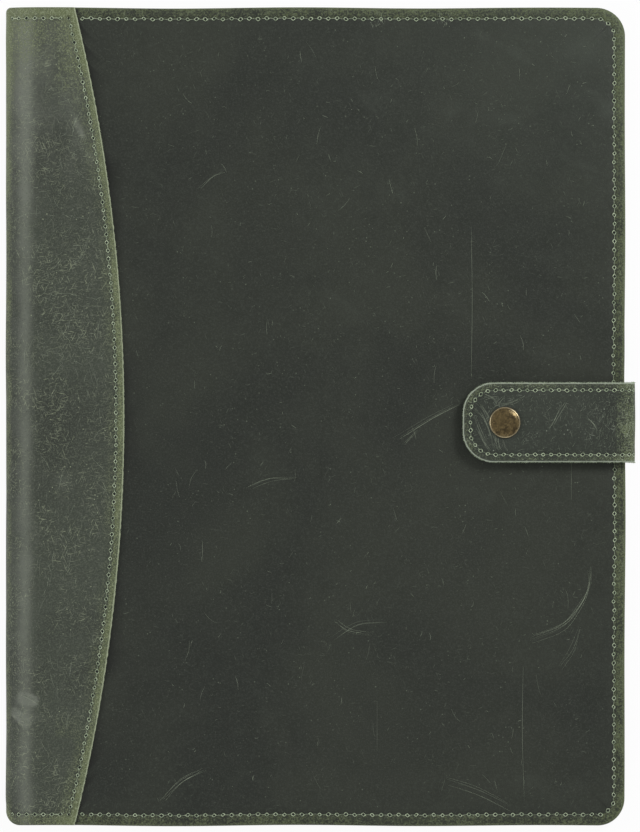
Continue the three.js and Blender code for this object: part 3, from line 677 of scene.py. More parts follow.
# Each leather's colours: dark, base, light, worn and hair
PANEL_COLOURS = [(30, 33, 28), (40, 43, 36), (64, 69, 61), (84, 92, 62), (110, 118, 102)]
OVERLAY_COLOURS = [(40, 44, 37), (55, 60, 51), (104, 108, 98), (94, 102, 70), (154, 162, 134)]
STRAP_COLOURS = [(34, 38, 32), (45, 49, 42), (74, 80, 70), (90, 99, 68), (160, 168, 152)]
INSIDE_COLOURS = [(34, 36, 31), (46, 49, 42), (60, 64, 56), (96, 104, 82), (104, 110, 94)]
panel_finish = leather("panel_leather", PANEL_COLOURS, hair_share=0.7, seed=0.0, dust=0.6)
overlay_finish = leather("overlay_leather", OVERLAY_COLOURS, hair_share=0.63, seed=1.3, dust=0.8)
strap_finish = leather("strap_leather", STRAP_COLOURS, hair_share=0.67, seed=2.7, dust=0.7)
inside_finish = leather("inside_leather", INSIDE_COLOURS, hair_share=0.72, seed=4.1, dust=0.5)
thread_finish = plain("waxed_thread", (118, 132, 106), (184, 197, 166), 0.6, 700, 3000, 0.05)
# Near-black finish for the discs in the needle holes: painted shade.
hole_shade_finish = plain("needle_hole", (4, 5, 4), (9, 10, 8), 1.0, 900, 2500, 0.03)
lining_finish = cloth("woven_lining", (26, 28, 24), (52, 55, 48), 0.7)
tape_finish = cloth("binding_cloth", (30, 33, 30), (60, 64, 58), 0.5)
board_finish = plain("grey_board", (150, 140, 120), (176, 166, 146), 0.85, 300, 1500, 0.08)
brass_finish = brass("antique_brass")
paper_finish = page("ruled_paper")
mark_finish = mark_material()


# Surfaces of the covers
class Side:
    """One cover: the outer face in flat coordinates, and its place in the folio."""

    def __init__(self, name, panel_h, overlay_thick, seed):
        self.name = name
        self.body = name + "_cover"
        self.front = name == "front"
        self.panel_h = panel_h
        self.overlay_thick = overlay_thick
        self.seed = seed
        low, high = node_box(name + "_lining")
        self.inner = low[2] - TOP_Z if self.front else -high[2]

    def place(self, q):
        """Sways the edges a little, and mirrors the back cover."""
        reach = smooth((np.abs(q[:, 1]) - HEAD_Y + 15) / 15)
        side_reach = smooth((q[:, 0] - FORE_X + 15) / 15) * (q[:, 0] < FORE_X + 2)
        q[:, 1] += SWAY * waves(q[:, 0], 0 * q[:, 0], 75, self.seed) * reach
        q[:, 0] += SWAY * waves(q[:, 1], 0 * q[:, 1], 90, self.seed + 1) * side_reach
        if not self.front:
            q[:, 2] = TOP_Z - q[:, 2]
        return q

    def wrap(self, p):
        return self.place(wrap(np.asarray(p, dtype=float)))

    def flat(self, p):
        p = np.asarray(p, dtype=float)
        return self.place(np.stack([p[:, 0], p[:, 1], TOP_Z + p[:, 2]], axis=1))


SWAY = 0.16
FORE_HEAD_RADIUS = 11.5
FORE_TAIL_RADIUS = 11.0
SPINE_TAIL_RADIUS = 5.5
SPINE_HEAD_RADIUS = 1.5
TURNED_EDGE = 2.0
PANEL_THICK = 1.5
ROW_START = 2.0
front = Side("front", panel_h=-PANEL_STEP, overlay_thick=1.0, seed=3)
back = Side("back", panel_h=-0.35, overlay_thick=0.3, seed=40)


def edge_line():
    """The stitch row round the panel, from the overlay's edge at the head to the same at the tail."""
    high, low, right = HEAD_Y - EDGE_ROW, TAIL_Y + EDGE_ROW, FORE_X - EDGE_ROW
    head, tail = FORE_HEAD_RADIUS - EDGE_ROW, FORE_TAIL_RADIUS - EDGE_ROW
    line = [(float(arc_x(high)) + ROW_START, high)]
    line += corner_arc(right - head, high - head, head, 90, 0)
    line += corner_arc(right - tail, low + tail, tail, 0, -90)
    line.append((float(arc_x(low)) + ROW_START, low))
    return line


def overlay_line():
    """The overlay's stitch row in (u, y): along the head, down beside the edge and back along the tail."""
    high = HEAD_Y - EDGE_ROW
    down = [(to_run(float(arc_x(y, -OVERLAY_ROW))), y) for y in np.linspace(high, -high, 90)]
    return [(ROLL_RUN - ROW_ROUND_ROLL, high)], down, [(ROLL_RUN - ROW_ROUND_ROLL, -high)]


edge_holes = spaced(edge_line(), EDGE_PITCH, EDGE_WOBBLE)
row_head, row_down, row_tail = overlay_line()
overlay_rows = [
    spaced(row_head + row_down[:1], OVERLAY_PITCH)[:-1],
    spaced(row_down, OVERLAY_PITCH, ROW_WOBBLE),
    spaced(row_down[-1:] + row_tail, OVERLAY_PITCH)[1:],
]
edge_distance = hole_field([edge_holes])
overlay_distance = hole_field(overlay_rows)


def panel_base(side):
    """Height of the panel without its needle holes."""
    def height(a, b, inset):
        open_side = smooth((a - arc_x(b) - 1.0) / 6)
        valley = 0.2 * bell(inset - EDGE_ROW, 0.7)
        bead = 0.12 * smooth((inset - 0.8) / 1.2) * smooth((4.0 - inset) / 1.0)
        pillow = 0.14 * waves(a, b, 85, side.seed) * smooth((inset - 8) / 14)
        cushion = 0.16 * smooth((inset - EDGE_ROW - 0.4) / 2.5) * smooth((26 - inset) / 18)
        return side.panel_h - rounded_edge(inset, 1.3) + open_side * (bead + pillow + cushion - valley)
    return height


def make_panel(side):
    plate = Plate(
        SPINE_X + ROLL, FORE_X, TAIL_Y, HEAD_Y, (0.6, FORE_TAIL_RADIUS, FORE_HEAD_RADIUS, 0.6), 0.62,
    )
    base = panel_base(side)

    def top(a, b, inset):
        near_row = (np.abs(inset - EDGE_ROW) < ROW_REACH) & (a > arc_x(b) + 0.8)
        distance = edge_distance(a, b, near_row)
        return base(a, b, inset) - PANEL_DIMPLE_DEPTH * bell(distance, PANEL_DIMPLE_RADIUS)

    def rim(a, b):
        if side.front:
            return side.inner + 0 * a
        notch = (np.abs(b - STRAP_Y) < STRAP_HALF + 0.3) & (a > FORE_X - TURNED_EDGE - 0.2)
        return np.where(notch, -PANEL_THICK, side.inner)

    def wear(a, b, inset, h):
        fore = 1 + 0.45 * smooth((a - 105) / 15) + 0.2 * smooth((b - 140) / 20)
        edge = smooth((1.3 - inset) / 0.8) * 0.3 * fore
        outer = smooth((EDGE_ROW + 0.6 - inset) / 1.2) * 0.34 * fore
        return (edge + outer) * (h > side.panel_h - 1.0)

    def pale(a, b, inset, h):
        """Painted sheen: the face is painted a little paler towards the head, most at the fore edge and the
        upper fore corner.
        """
        corner = 0.25 * np.exp(-(((a - 109) / 9) ** 2 + ((b - 149) / 7) ** 2))
        return 0.26 * smooth((a + 60) / 180) * smooth((b + 20) / 180) + 0.1 * smooth((b - 60) / 90) + corner

    def shade(a, b, inset, h):
        beside = smooth(1 - (a - arc_x(b)) / 1.3) * HOLE_SHADE
        near_row = (np.abs(inset - EDGE_ROW) < PANEL_SHADE_REACH) & (a > arc_x(b) + 0.8)
        return np.maximum(beside, HOLE_SHADE * bell(edge_distance(a, b, near_row), DARK_RADIUS))

    under = side.panel_h - PANEL_THICK
    walls = [(0.0, side.panel_h - 2.0), (0.0, rim), (0.3, rim), (TURNED_EDGE, rim)]
    walls += [(TURNED_EDGE + 0.05, under), (TURNED_EDGE + 1.0, under)]
    piece = plate_piece(
        side.name + "_panel", plate, side.flat, top, walls, panel_finish, "panel_leather",
        fields={"wear": wear, "shade": shade, "pale": pale},
    )
    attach(piece, side.body)
    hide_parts(side.name + "_panel_leather")
    stitches = stitch_row(
        side.name + "_edge_stitches", [edge_holes], lambda a, b: at_point(base, a, b, EDGE_ROW), side.flat,
    )
    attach(stitches, side.body)
    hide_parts(side.name + "_edge_thread")


def slab(name, a, b, top, bottom, mapping, finish, slot, fields=None):
    """A closed sheet from two grids: a and b are the flat places, top and bottom the heights."""
    rows, columns = a.shape
    count = rows * columns
    upper = np.stack([a.ravel(), b.ravel(), top.ravel()], axis=1)
    lower = np.stack([a.ravel(), b.ravel(), bottom.ravel()], axis=1)
    index = np.arange(count).reshape(rows, columns)
    one, two = index[:-1, :-1].ravel(), index[:-1, 1:].ravel()
    three, four = index[1:, 1:].ravel(), index[1:, :-1].ravel()
    faces = np.stack([one, two, three, four], axis=1).tolist()
    faces += (np.stack([four, three, two, one], axis=1) + count).tolist()
    border = np.concatenate([index[0], index[1:, -1], index[-1, -2::-1], index[-2:0:-1, 0]])
    after = np.roll(border, -1)
    faces += np.stack([after, border, border + count, after + count], axis=1).tolist()
    values = {key: np.concatenate([np.ravel(v), np.ravel(v)]) for key, v in (fields or {}).items()}
    return make_piece(name, mapping(np.concatenate([upper, lower])), faces, finish, slot, values)


def corner_shift(x, y):
    """How far the head and tail ends step in where the spine's corners are rounded in plan."""
    tail = np.clip(SPINE_X + SPINE_TAIL_RADIUS - x, 0, SPINE_TAIL_RADIUS)
    head = np.clip(SPINE_X + SPINE_HEAD_RADIUS - x, 0, SPINE_HEAD_RADIUS)
    low = SPINE_TAIL_RADIUS - np.sqrt(SPINE_TAIL_RADIUS ** 2 - tail ** 2)
    high = SPINE_HEAD_RADIUS - np.sqrt(SPINE_HEAD_RADIUS ** 2 - head ** 2)
    return low * (1 - smooth((y - TAIL_Y) / 12)) - high * (1 - smooth((HEAD_Y - y) / 8))


ROW_INSETS = [0, 0.05, 0.15, 0.3, 0.5, 0.8, 1.2, 1.8, 2.5, 3.2, 3.8, 4.4, 5.0, 5.6, 6.4]
EDGE_INSETS = [
    0, 0.05, 0.15, 0.3, 0.5, 0.8, 1.2, 1.7, 2.2, 2.6, 2.95, 3.35, 3.75, 4.1, 4.6, 5.2, 6.0, 7.5, 9.5,
]


def row_places(low, high, insets, step):
    """Places from low to high, close together near both ends."""
    inner = np.arange(low + insets[-1] + step, high - insets[-1], step)
    return np.concatenate([low + np.array(insets), inner, high - np.array(insets[::-1])])


# A pixel of the photograph in millimetres, and the pixel at the middle of the front cover
PIXEL = 0.404
PHOTO_X = 315.15
PHOTO_Y = 416.75


def pixel(px, py):
    """A place in the photograph as x and y on the front cover, in millimetres."""
    return ((px - PHOTO_X) * PIXEL, (PHOTO_Y - py) * PIXEL)


def pixels(*places):
    """A line through places in the photograph, as x and y on the front cover."""
    return [pixel(px, py) for px, py in places]


# Smears of lifted wax on the overlay: pixel, half length, half width, tilt in degrees and strength
RUBS = [(29, 699, 4.2, 2.2, 12, 1.1), (20, 717, 4.4, 1.9, 42, 1.0), (79, 128, 0.9, 4.0, -14, 1.5)]
GREEN_RUBS = [(67, 726, 5.5, 5.0, 0, 0.35), (70, 68, 5.0, 9.0, 0, 0.25)]


def rubbed(x, y, spots):
    """Soft smears: 0 to about 1 at each place."""
    total = np.zeros_like(x)
    for px, py, reach, across, tilt, amount in spots:
        middle_x, middle_y = pixel(px, py)
        dx, dy = x - middle_x, y - middle_y
        turn = math.radians(-tilt)
        along = dx * math.cos(turn) + dy * math.sin(turn)
        aside = dy * math.cos(turn) - dx * math.sin(turn)
        streaks = 0.75 + 0.25 * waves(along * 0.3, aside, 0.9, 61)
        total += amount * np.exp(-((along / reach) ** 4 + (aside / across) ** 4)) * streaks
    return total


def overlay_base(side):
    """Height of the overlay's face over the outer face, without its needle holes."""
    def height(u, y):
        inset_arc = to_run(arc_x(y)) - u
        inset_y = np.minimum(y - TAIL_Y, HEAD_Y - y)
        inset = np.minimum(inset_arc, inset_y)
        long_row = 0.2 * bell(inset_arc - OVERLAY_ROW, 0.55) * smooth((inset_y - 3.6) / 0.8)
        end_row = 0.2 * bell(inset_y - EDGE_ROW, 0.6)
        end_row = end_row * smooth((u - ROLL_RUN + ROW_ROUND_ROLL + 1) / 2) * smooth((inset_arc - 2.8) / 0.8)
        soft = 0.1 * waves(u, y, 60, side.seed + 5) * smooth((inset - 5) / 8)
        drop = rounded_edge(inset_arc, 0.3) + rounded_edge(inset_y, 0.5)
        return soft - drop - long_row - end_row - 0.12
    return height


def make_overlay(side):
    rows = row_places(TAIL_Y, HEAD_Y, ROW_INSETS, 0.6)
    u_edge = to_run(arc_x(rows))
    middle = ROLL_RUN / 2
    near = u_edge[:, None] - np.array(EDGE_INSETS)[None, :]
    steps = np.linspace(0, 1, 45)[None, 1:]
    far = near[:, -1:] + (middle - near[:, -1:]) * steps
    u = np.concatenate([near, far], axis=1)
    y = np.repeat(rows[:, None], u.shape[1], axis=1)
    inset_arc = u_edge[:, None] - u
    inset_y = np.minimum(y - TAIL_Y, HEAD_Y - y)
    height = overlay_base(side)
    mask = (inset_arc < OVERLAY_ROW + ROW_REACH) | (np.abs(inset_y - EDGE_ROW) < ROW_REACH)
    distance = overlay_distance(u.ravel(), y.ravel(), mask.ravel()).reshape(u.shape)
    top = height(u, y) - DIMPLE_DEPTH * bell(distance, DIMPLE_RADIUS)
    thick = side.overlay_thick + (PANEL_THICK - side.overlay_thick) * smooth((ROLL_RUN + 2 - u) / 3)
    bottom = np.minimum(-thick, top - 0.12)
    x = plan_x(u)
    fray = 0.1 * waves(y, u * 0, 1.9, side.seed + 9) * (inset_arc < 0.2)
    roll = smooth((ROLL_RUN * 0.80 - u) / (ROLL_RUN * 0.16))
    to_head = smooth((y + 90) / 190)
    wear = (0.3 + 0.32 * to_head) * roll + 0.5 * smooth((5.2 - inset_y) / 1.6)
    wear = wear + (0.08 + 0.12 * to_head) * smooth((34 - inset_y) / 30)
    wear = wear + 0.5 * smooth((OVERLAY_ROW - 0.2 - inset_arc) / 0.9) + 0.22 * smooth((12 - inset_arc) / 8)
    wear = wear + 0.16 * smooth((y - 80) / 70)
    # Pale line at the cut edge: the cut's paler fibres, and a painted highlight where the edge catches the
    # light.
    raw = smooth((0.55 - inset_arc) / 0.3)
    # Painted highlight along the spine roll (the bell round x = -117), plus paler tone towards the spine and
    # the head, random waves, and on the front the rubbed wax smears.
    pale = 0.5 * bell(x + 117.0, 3.0) + 0.36 * smooth((y - 60) / 90)
    pale = pale + 0.12 * smooth((-x - 108) / 8) + 0.05 * waves(u, y * 0.4, 9, 51)
    if side.front:
        pale = pale + rubbed(x, y, RUBS)
        wear = wear + rubbed(x, y, GREEN_RUBS)
    shade = HOLE_SHADE * bell(distance, DARK_RADIUS)
    piece = slab(
        side.name + "_overlay", u + fray, y + corner_shift(x, y), top, bottom, side.wrap, overlay_finish,
        "overlay_leather", {"wear": wear, "raw": raw, "shade": shade, "pale": pale},
    )
    stitches = stitch_row(
        side.name + "_overlay_stitches", overlay_rows, lambda a, b: at_point(height, a, b), side.wrap,
    )
    bend_over_spine(stitches, side)
    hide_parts(side.name + "_overlay_thread")
    return piece


def bend_over_spine(piece, side):
    """Bakes the piece's place into its mesh; the piece is not bent at the fold."""
    def spot(angle):
        angle = math.radians(angle)
        x, z = ROLL_X - ROLL * math.sin(angle), ROLL - ROLL * math.cos(angle)
        return (x * MM, 0, z * MM)
    if side.front:
        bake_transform(piece)
    else:
        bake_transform(piece)


LINING_THICK = 0.5


def make_spine_lining(side):
    """The lining that runs from the flat lining over the roll's inside."""
    rows = row_places(TAIL_Y + TURNED_EDGE, HEAD_Y - TURNED_EDGE, [0, 0.15, 0.4, 1.0], 4.0)
    columns = np.linspace(ROLL_RUN / 2, ROLL_RUN + 4.5, 46)
    u, y = np.meshgrid(columns, rows)
    roll_h = -PANEL_THICK - 0.12
    high = roll_h + (side.inner - 0.05 - roll_h) * smooth((u - ROLL_RUN + 5) / 7)
    puckers = 0.05 * waves(u * 0, y, 9, side.seed + 20)
    return slab(
        side.name + "_spine_lining", u, y + corner_shift(plan_x(u), y), high, high - LINING_THICK + puckers,
        side.wrap, lining_finish, "lining",
    )


for side in (front, back):
    make_panel(side)
    overlay = make_overlay(side)
    bend_over_spine(overlay, side)
    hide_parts("spine_overlay_" + side.name, "spine_leather")
    lining = make_spine_lining(side)
    bend_over_spine(lining, side)
    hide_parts("spine_lining")


# Strap
strap_plate = Plate(0, STRAP_RUN, -STRAP_HALF, STRAP_HALF, (NOSE, 1, 1, NOSE), 1.0)
SNAP_X, SNAP_Y = (CAP_LOW[0] + CAP_HIGH[0]) / 2, (CAP_LOW[1] + CAP_HIGH[1]) / 2
SNAP_RUN = SNAP_X - STRAP_TIP_X
STRAP_THICK = FLAP_HIGH[2] - FLAP_LOW[2]
STRAP_ROW_END = FLAP_RUN + BEND_RUN * 0.75


def strap_half(r):
    """Half the strap's width at a run from its tip."""
    inside = np.clip(NOSE - r, 0, NOSE)
    return STRAP_HALF - NOSE + np.sqrt(NOSE ** 2 - inside ** 2)


def strap_row():
    """The stitch row, from the bend round the nose and back."""
    half, nose = STRAP_HALF - STRAP_ROW, NOSE - STRAP_ROW
    line = [(STRAP_ROW_END, half)]
    line += corner_arc(NOSE, half - nose, nose, 90, 180)
    line += corner_arc(NOSE, -half + nose, nose, 180, 270)
    line.append((STRAP_ROW_END, -half))
    return line


strap_holes = spaced(strap_row(), STRAP_PITCH, ROW_WOBBLE)
strap_distance = hole_field([strap_holes])


def strap_base(r, y):
    """Height of the strap's face, without its needle holes."""
    inset = strap_plate.inset(r, y)
    valley = 0.18 * bell(inset - STRAP_ROW, 0.6) * (r < STRAP_ROW_END + 1)
    dish = 0.22 * bell(np.hypot(r - SNAP_RUN, y), 9)
    soft = 0.12 * waves(r, y, 24, 77) * smooth((inset - 3) / 4)
    across = 0.25 * (y / STRAP_HALF) ** 2
    return soft - rounded_edge(inset, 0.3) - valley - dish - across - 0.1


def strap_lift(r, y):
    return at_point(strap_base, r, y)


STRAP_STEP = 0.55
STRAP_INSETS = [0, 0.06, 0.15, 0.3, 0.5, 0.8, 1.2, 1.8, 2.3, 2.7, 3.0, 3.3, 3.7, 4.2, 5.0]
TIP_RUNS = [0, 0.05, 0.12, 0.25, 0.45, 0.7]


def strap_sheet(name, low_run, high_run, outside, bend, *nodes):
    """One stretch of the strap's leather, or of the lining under it, between two runs."""
    unit = row_places(-STRAP_HALF, STRAP_HALF, STRAP_INSETS, 0.7) / STRAP_HALF
    runs = np.arange(low_run, high_run, STRAP_STEP)
    if low_run == 0:
        runs = np.concatenate([TIP_RUNS, np.arange(1.0, high_run, STRAP_STEP)])
    t, r = np.meshgrid(unit, np.append(runs, high_run))
    y = t * strap_half(r)
    inset = strap_plate.inset(r, y)
    if outside:
        finish, slot, depth = strap_finish, "strap_leather", STRAP_THICK
        mask = (np.abs(inset - STRAP_ROW) < ROW_REACH) & (r < STRAP_ROW_END + 2)
        distance = strap_distance(r.ravel(), y.ravel(), mask.ravel()).reshape(r.shape)
        top = strap_base(r, y) - DIMPLE_DEPTH * bell(distance, DIMPLE_RADIUS)
    else:
        finish, slot, depth = inside_finish, "lining", LINING_BASE
        distance = FAR + 0 * r
        top = -LINING_TOP + 0 * r - rounded_edge(inset, 0.25)
    bottom = np.minimum(-depth + 0 * r, top - 0.2)
    fray = 0.13 * waves(r, y * 0, 1.7, 12) + 0.08 * waves(r, y * 0, 0.7, 13)
    y = y + np.sign(y) * fray * (inset < 0.1) * (strap_half(r) > STRAP_HALF - 3)
    streak = 0.1 * waves(r, y * 0.3, 2.2, 15)
    wear = (0.6 + streak) * smooth((r - FLAP_RUN + 6) / 8) + 0.3 * smooth((3.2 - inset) / 1.2)
    raw = smooth((0.55 - inset) / 0.35)
    shade = HOLE_SHADE * bell(distance, DARK_RADIUS)
    fields = {"wear": wear, "raw": raw, "shade": shade}
    piece = slab(name, r, y, top, bottom, strap_map, finish, slot, fields)
    bend(piece)
    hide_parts(*nodes)


def strap_spot(run):
    """The place of the strap's face at a run, in metres."""
    x, y, z = strap_map(np.array([[run, 0.0, 0.0]]))[0]
    return (x * MM, 0, z * MM)


def bend_to_flap(piece):
    """Bakes the piece's place into its mesh; the ends of the fold between the strap's side and its flap are
    worked out but not used.
    """
    start, end = strap_spot(FLAP_RUN + BEND_RUN), strap_spot(FLAP_RUN)
    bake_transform(piece)
    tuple(start)
    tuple(end)


def bend_to_side(piece):
    """Bakes the piece's place into its mesh; the ends of the fold between the back cover and the strap's side
    are worked out but not used.
    """
    start, end = strap_spot(STRAP_RUN - ANCHOR_RUN), strap_spot(STRAP_SPLIT + SIDE_RUN / 2)
    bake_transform(piece)
    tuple(start)
    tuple(end)


LINING_TOP = STRAP_THICK + 0.1
LINING_BASE = STRAP_TOP_Z - node_box("strap_flap_lining")[0][2]
LOW_LINING_END = STRAP_SPLIT + SIDE_RUN / 2 + BEND_RUN / 2
strap_sheet(
    "strap_flap_skin", 0, STRAP_SPLIT, True, bend_to_flap, "strap_flap_leather", "strap_side_leather",
)
strap_sheet(
    "strap_low_skin", STRAP_SPLIT, STRAP_RUN, True, bend_to_side, "strap_anchor", "strap_side_leather",
)
strap_sheet(
    "strap_flap_backing", 0, STRAP_SPLIT, False, bend_to_flap, "strap_flap_lining", "strap_side_lining",
)
strap_sheet("strap_low_backing", STRAP_SPLIT, LOW_LINING_END, False, bend_to_side, "strap_side_lining")
strap_stitches = stitch_row("strap_stitches", [strap_holes], strap_lift, strap_map)
bend_to_flap(strap_stitches)
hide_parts("strap_thread")


# Snap
def lathe(name, profile, z, body, wear, node):
    """A round brass piece on the snap's axis, from a profile of (radius, height) over z."""
    steps = 72
    points, rub = [], []
    for k in range(steps):
        angle = 2 * math.pi * k / steps
        for r, h in profile:
            points.append((SNAP_X + r * math.cos(angle), SNAP_Y + r * math.sin(angle), z + h))
            rub.append(wear(r, h))
    open_middle = min(r for r, h in profile) > 0
    faces = torus_faces(steps, len(profile), open_middle)
    piece = make_piece(name, points, faces, brass_finish, "brass", {"wear": rub}, 35)
    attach(piece, body)
    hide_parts(node)


CAP_R = (CAP_HIGH[0] - CAP_LOW[0]) / 2
SOCKET_LOW, SOCKET_HIGH = node_box("snap_socket")
STUD_LOW, STUD_HIGH = node_box("snap_stud")
CAP_SHOULDER = [
    (0, 1.42), (0.3, 1.39), (0.55, 1.31), (0.7, 1.17), (0.78, 1.01), (0.86, 0.81), (0.88, 0.8), (0.94, 0.68),
    (0.975, 0.53), (0.995, 0.35), (1, 0.22), (0.985, 0.08), (0.95, 0.0),
]
socket_top = SOCKET_HIGH[2] - STRAP_TOP_Z
cap_face = [(max(r, 0), h) for r, h in curve_through([(CAP_R * share, h) for share, h in CAP_SHOULDER], 5)]
cap_face += [(CAP_R * 0.6, -0.25), (1.7, -0.3), (1.7, socket_top), (0, socket_top)]


def cap_wear(r, h):
    """The rim is rubbed bright."""
    return 0.45 * bell(r / CAP_R - 0.96, 0.04) if h > 0.2 else 0


lathe("snap_cap_shell", cap_face, STRAP_TOP_Z + 0.02, "strap_flap", cap_wear, "snap_cap")
socket_r = (SOCKET_HIGH[0] - SOCKET_LOW[0]) / 2
socket_depth = SOCKET_LOW[2] - SOCKET_HIGH[2]
socket_face = [
    (1.85, 0), (1.85, -0.5), (2.85, -0.55), (2.9, socket_depth + 0.15), (3.1, socket_depth),
    (socket_r - 0.9, socket_depth), (socket_r - 0.2, socket_depth + 0.3), (socket_r, -1.0), (socket_r, -0.15),
    (socket_r - 0.2, 0),
]
lathe(
    "snap_socket_shell", socket_face, SOCKET_HIGH[2], "strap_flap",
    lambda r, h: 0.4 * (h < -1.5), "snap_socket",
)
stud_r = (STUD_HIGH[0] - STUD_LOW[0]) / 2
stud_top = STUD_HIGH[2]
# The stud's round head and neck, then its flange on the cover and its shank, as radius and height
stud_face = [
    (0, stud_top), (1.4, stud_top - 0.03), (2.2, stud_top - 0.2), (2.65, stud_top - 0.5),
    (2.7, stud_top - 0.75), (2.3, stud_top - 1.1), (2.0, 19.55), (2.2, 19.35), (3.6, 19.3),
    (stud_r - 0.15, 19.22), (stud_r, 19.1), (stud_r - 0.1, 18.75), (1.45, 18.7),
    (1.45, STUD_LOW[2]), (0, STUD_LOW[2]),
]
lathe("snap_stud_post", stud_face, 0, "front_cover", lambda r, h: 0.5 * (h > stud_top - 0.3), "snap_stud")

# Inside: linings, sleeve and pockets
SEAM_ROW = 2.6
SEAM_PITCH = 3.6
LINING_CORNERS = (0.5, 8.7, 9.2, 0.5)
POCKET_CORNERS = (0.6, 7, 0.6, 0.6)
CARD_CORNERS = (1.5, 1.5, 1.5, 1.5)
INSIDE_NEAR = [0.05, 0.15, 0.35, 0.6, 1.0, 1.6, 2.1, 2.6, 3.1, 3.6, 4.4, 5.5, BORDER]


def inside_plate(name, node, side, radii, thick, rim, pocket, step=2.0):
    """A plate on the inside of a cover, with a turned border as deep as the rim.

    A pocket is of leather, has its mouth at the head, and is sewn along its other three sides.
    """
    low, high = node_box(node)
    sign = -1 if side.front else 1
    z_face = low[2] if side.front else high[2]
    mouth_y = high[1] - 0.5
    plate = Plate(low[0], high[0], low[1], high[1], radii, step)

    def mapping(p):
        return np.stack([p[:, 0], p[:, 1], z_face + sign * p[:, 2]], axis=1)

    def top(a, b, inset):
        soft = 0.06 * waves(a, b, 60, len(name)) * smooth((inset - 6) / 10)
        groove = 0.16 * bell(inset - SEAM_ROW, 0.45) * (b < mouth_y) * pocket
        return -rounded_edge(inset, min(thick * 0.6, 0.5)) - groove + np.minimum(soft, 0.04)

    def border(a, b):
        return np.where(b > mouth_y, -thick, -(thick + rim))

    def wear(a, b, inset, h):
        mouth = 0.5 * smooth((1.8 - (high[1] - b)) / 1.2) * pocket
        return (0.4 * smooth((1.2 - inset) / 1.2) + mouth) * (h > -0.6)

    def shade(a, b, inset, h):
        return 0.5 * bell(inset - SEAM_ROW, 0.7) * (b < mouth_y) * pocket

    walls = [(0.0, border), (3.4, border), (3.5, -thick)] if rim else [(0.0, -thick)]
    finish, slot = (inside_finish, "inside_leather") if pocket else (lining_finish, "lining")
    piece = plate_piece(
        name, plate, mapping, top, walls, finish, slot, near=INSIDE_NEAR, far=6,
        fields={"wear": wear, "shade": shade},
    )
    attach(piece, side.body)
    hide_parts(node)
    if pocket:
        bend = max(radii[1] - SEAM_ROW, 0.3)
        left, right, foot = low[0] + SEAM_ROW, high[0] - SEAM_ROW, low[1] + SEAM_ROW
        line = [(left, mouth_y - 1), (left, foot)]
        line += corner_arc(right - bend, foot + bend, bend, -90, 0)
        line += [(right, mouth_y - 1)]
        seam = stitch_row(name + "_stitches", [spaced(line, SEAM_PITCH)], lambda a, b: -0.06, mapping)
        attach(seam, side.body)


for side in (back, front):
    node = side.name + "_lining"
    inside_plate(node + "_cloth", node, side, LINING_CORNERS, thick=0.58, rim=0, pocket=False)
for node, side, rim in (("pad_sleeve", back, 1.05), ("document_pocket", front, 0.35)):
    inside_plate(node + "_leather", node, side, POCKET_CORNERS, thick=0.8, rim=rim, pocket=True)
for i in (1, 2, 3):
    node = f"card_pocket_{i}"
    inside_plate(node + "_leather", node, front, CARD_CORNERS, thick=0.55, rim=0, pocket=True, step=1.2)

# Pen loop: a leather strip rolled into a loop, its tab sewn under the pad's sleeve
loop_low, loop_high = node_box("pen_loop")
LOOP_OUTER = (loop_high[2] - loop_low[2]) / 2
LOOP_X = loop_low[0] + LOOP_OUTER
LOOP_Z = (loop_high[2] + loop_low[2]) / 2
LOOP_THICK = 1.0
loop_turn = 1.5 * math.pi
loop_lap = 0.48
tab_run = loop_high[0] - LOOP_X


def loop_map(p):
    """(run from the tab's end, y, h) round the loop."""
    r, y, h = p[:, 0] - tab_run, p[:, 1], p[:, 2]
    angle = -math.pi / 2 - np.clip(r / LOOP_OUTER, 0, loop_turn + 0.9)
    radius = LOOP_OUTER + h
    x = LOOP_X + radius * np.cos(angle) - np.minimum(r, 0)
    return np.stack([x, y, LOOP_Z + radius * np.sin(angle)], axis=1)


loop_rows = row_places(loop_low[1], loop_high[1], [0, 0.06, 0.2, 0.4, 0.8], 1.4)
loop_columns = np.linspace(0, tab_run + (loop_turn + loop_lap) * LOOP_OUTER, 90)
lr, ly = np.meshgrid(loop_columns, loop_rows)
loop_inset = np.minimum(ly - loop_low[1], loop_high[1] - ly)
loop_top = -rounded_edge(loop_inset, 0.35) + 0.03 * waves(lr, ly, 9, 31)
loop_piece = slab(
    "pen_loop_leather", lr, ly, loop_top, -LOOP_THICK + 0 * lr, loop_map, inside_finish, "inside_leather",
    {"wear": 0.4 * smooth((1.0 - loop_inset) / 1.0)},
)
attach(loop_piece, "back_cover")
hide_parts("pen_loop")

# Writing pad: backing, fifty sheets and the cloth tape over its head
backing_low, backing_high = node_box("pad_backing")
tape_low, tape_high = node_box("pad_binding_tape")


def sheet_stack(name, boxes):
    """Plain boxes given by their low and high corners, as one piece of paper sheets."""
    points, faces = [], []
    for low, high in boxes:
        base = len(points)
        for z in (low[2], high[2]):
            points += [(low[0], low[1], z), (high[0], low[1], z), (high[0], high[1], z), (low[0], high[1], z)]
        for face in ((3, 2, 1, 0), (4, 5, 6, 7), (0, 1, 5, 4), (1, 2, 6, 5), (2, 3, 7, 6), (3, 0, 4, 7)):
            faces.append(tuple(base + k for k in face))
    piece = make_piece(name, points, faces, paper_finish, "paper")
    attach(piece, "pad")
    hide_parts("paper_block")


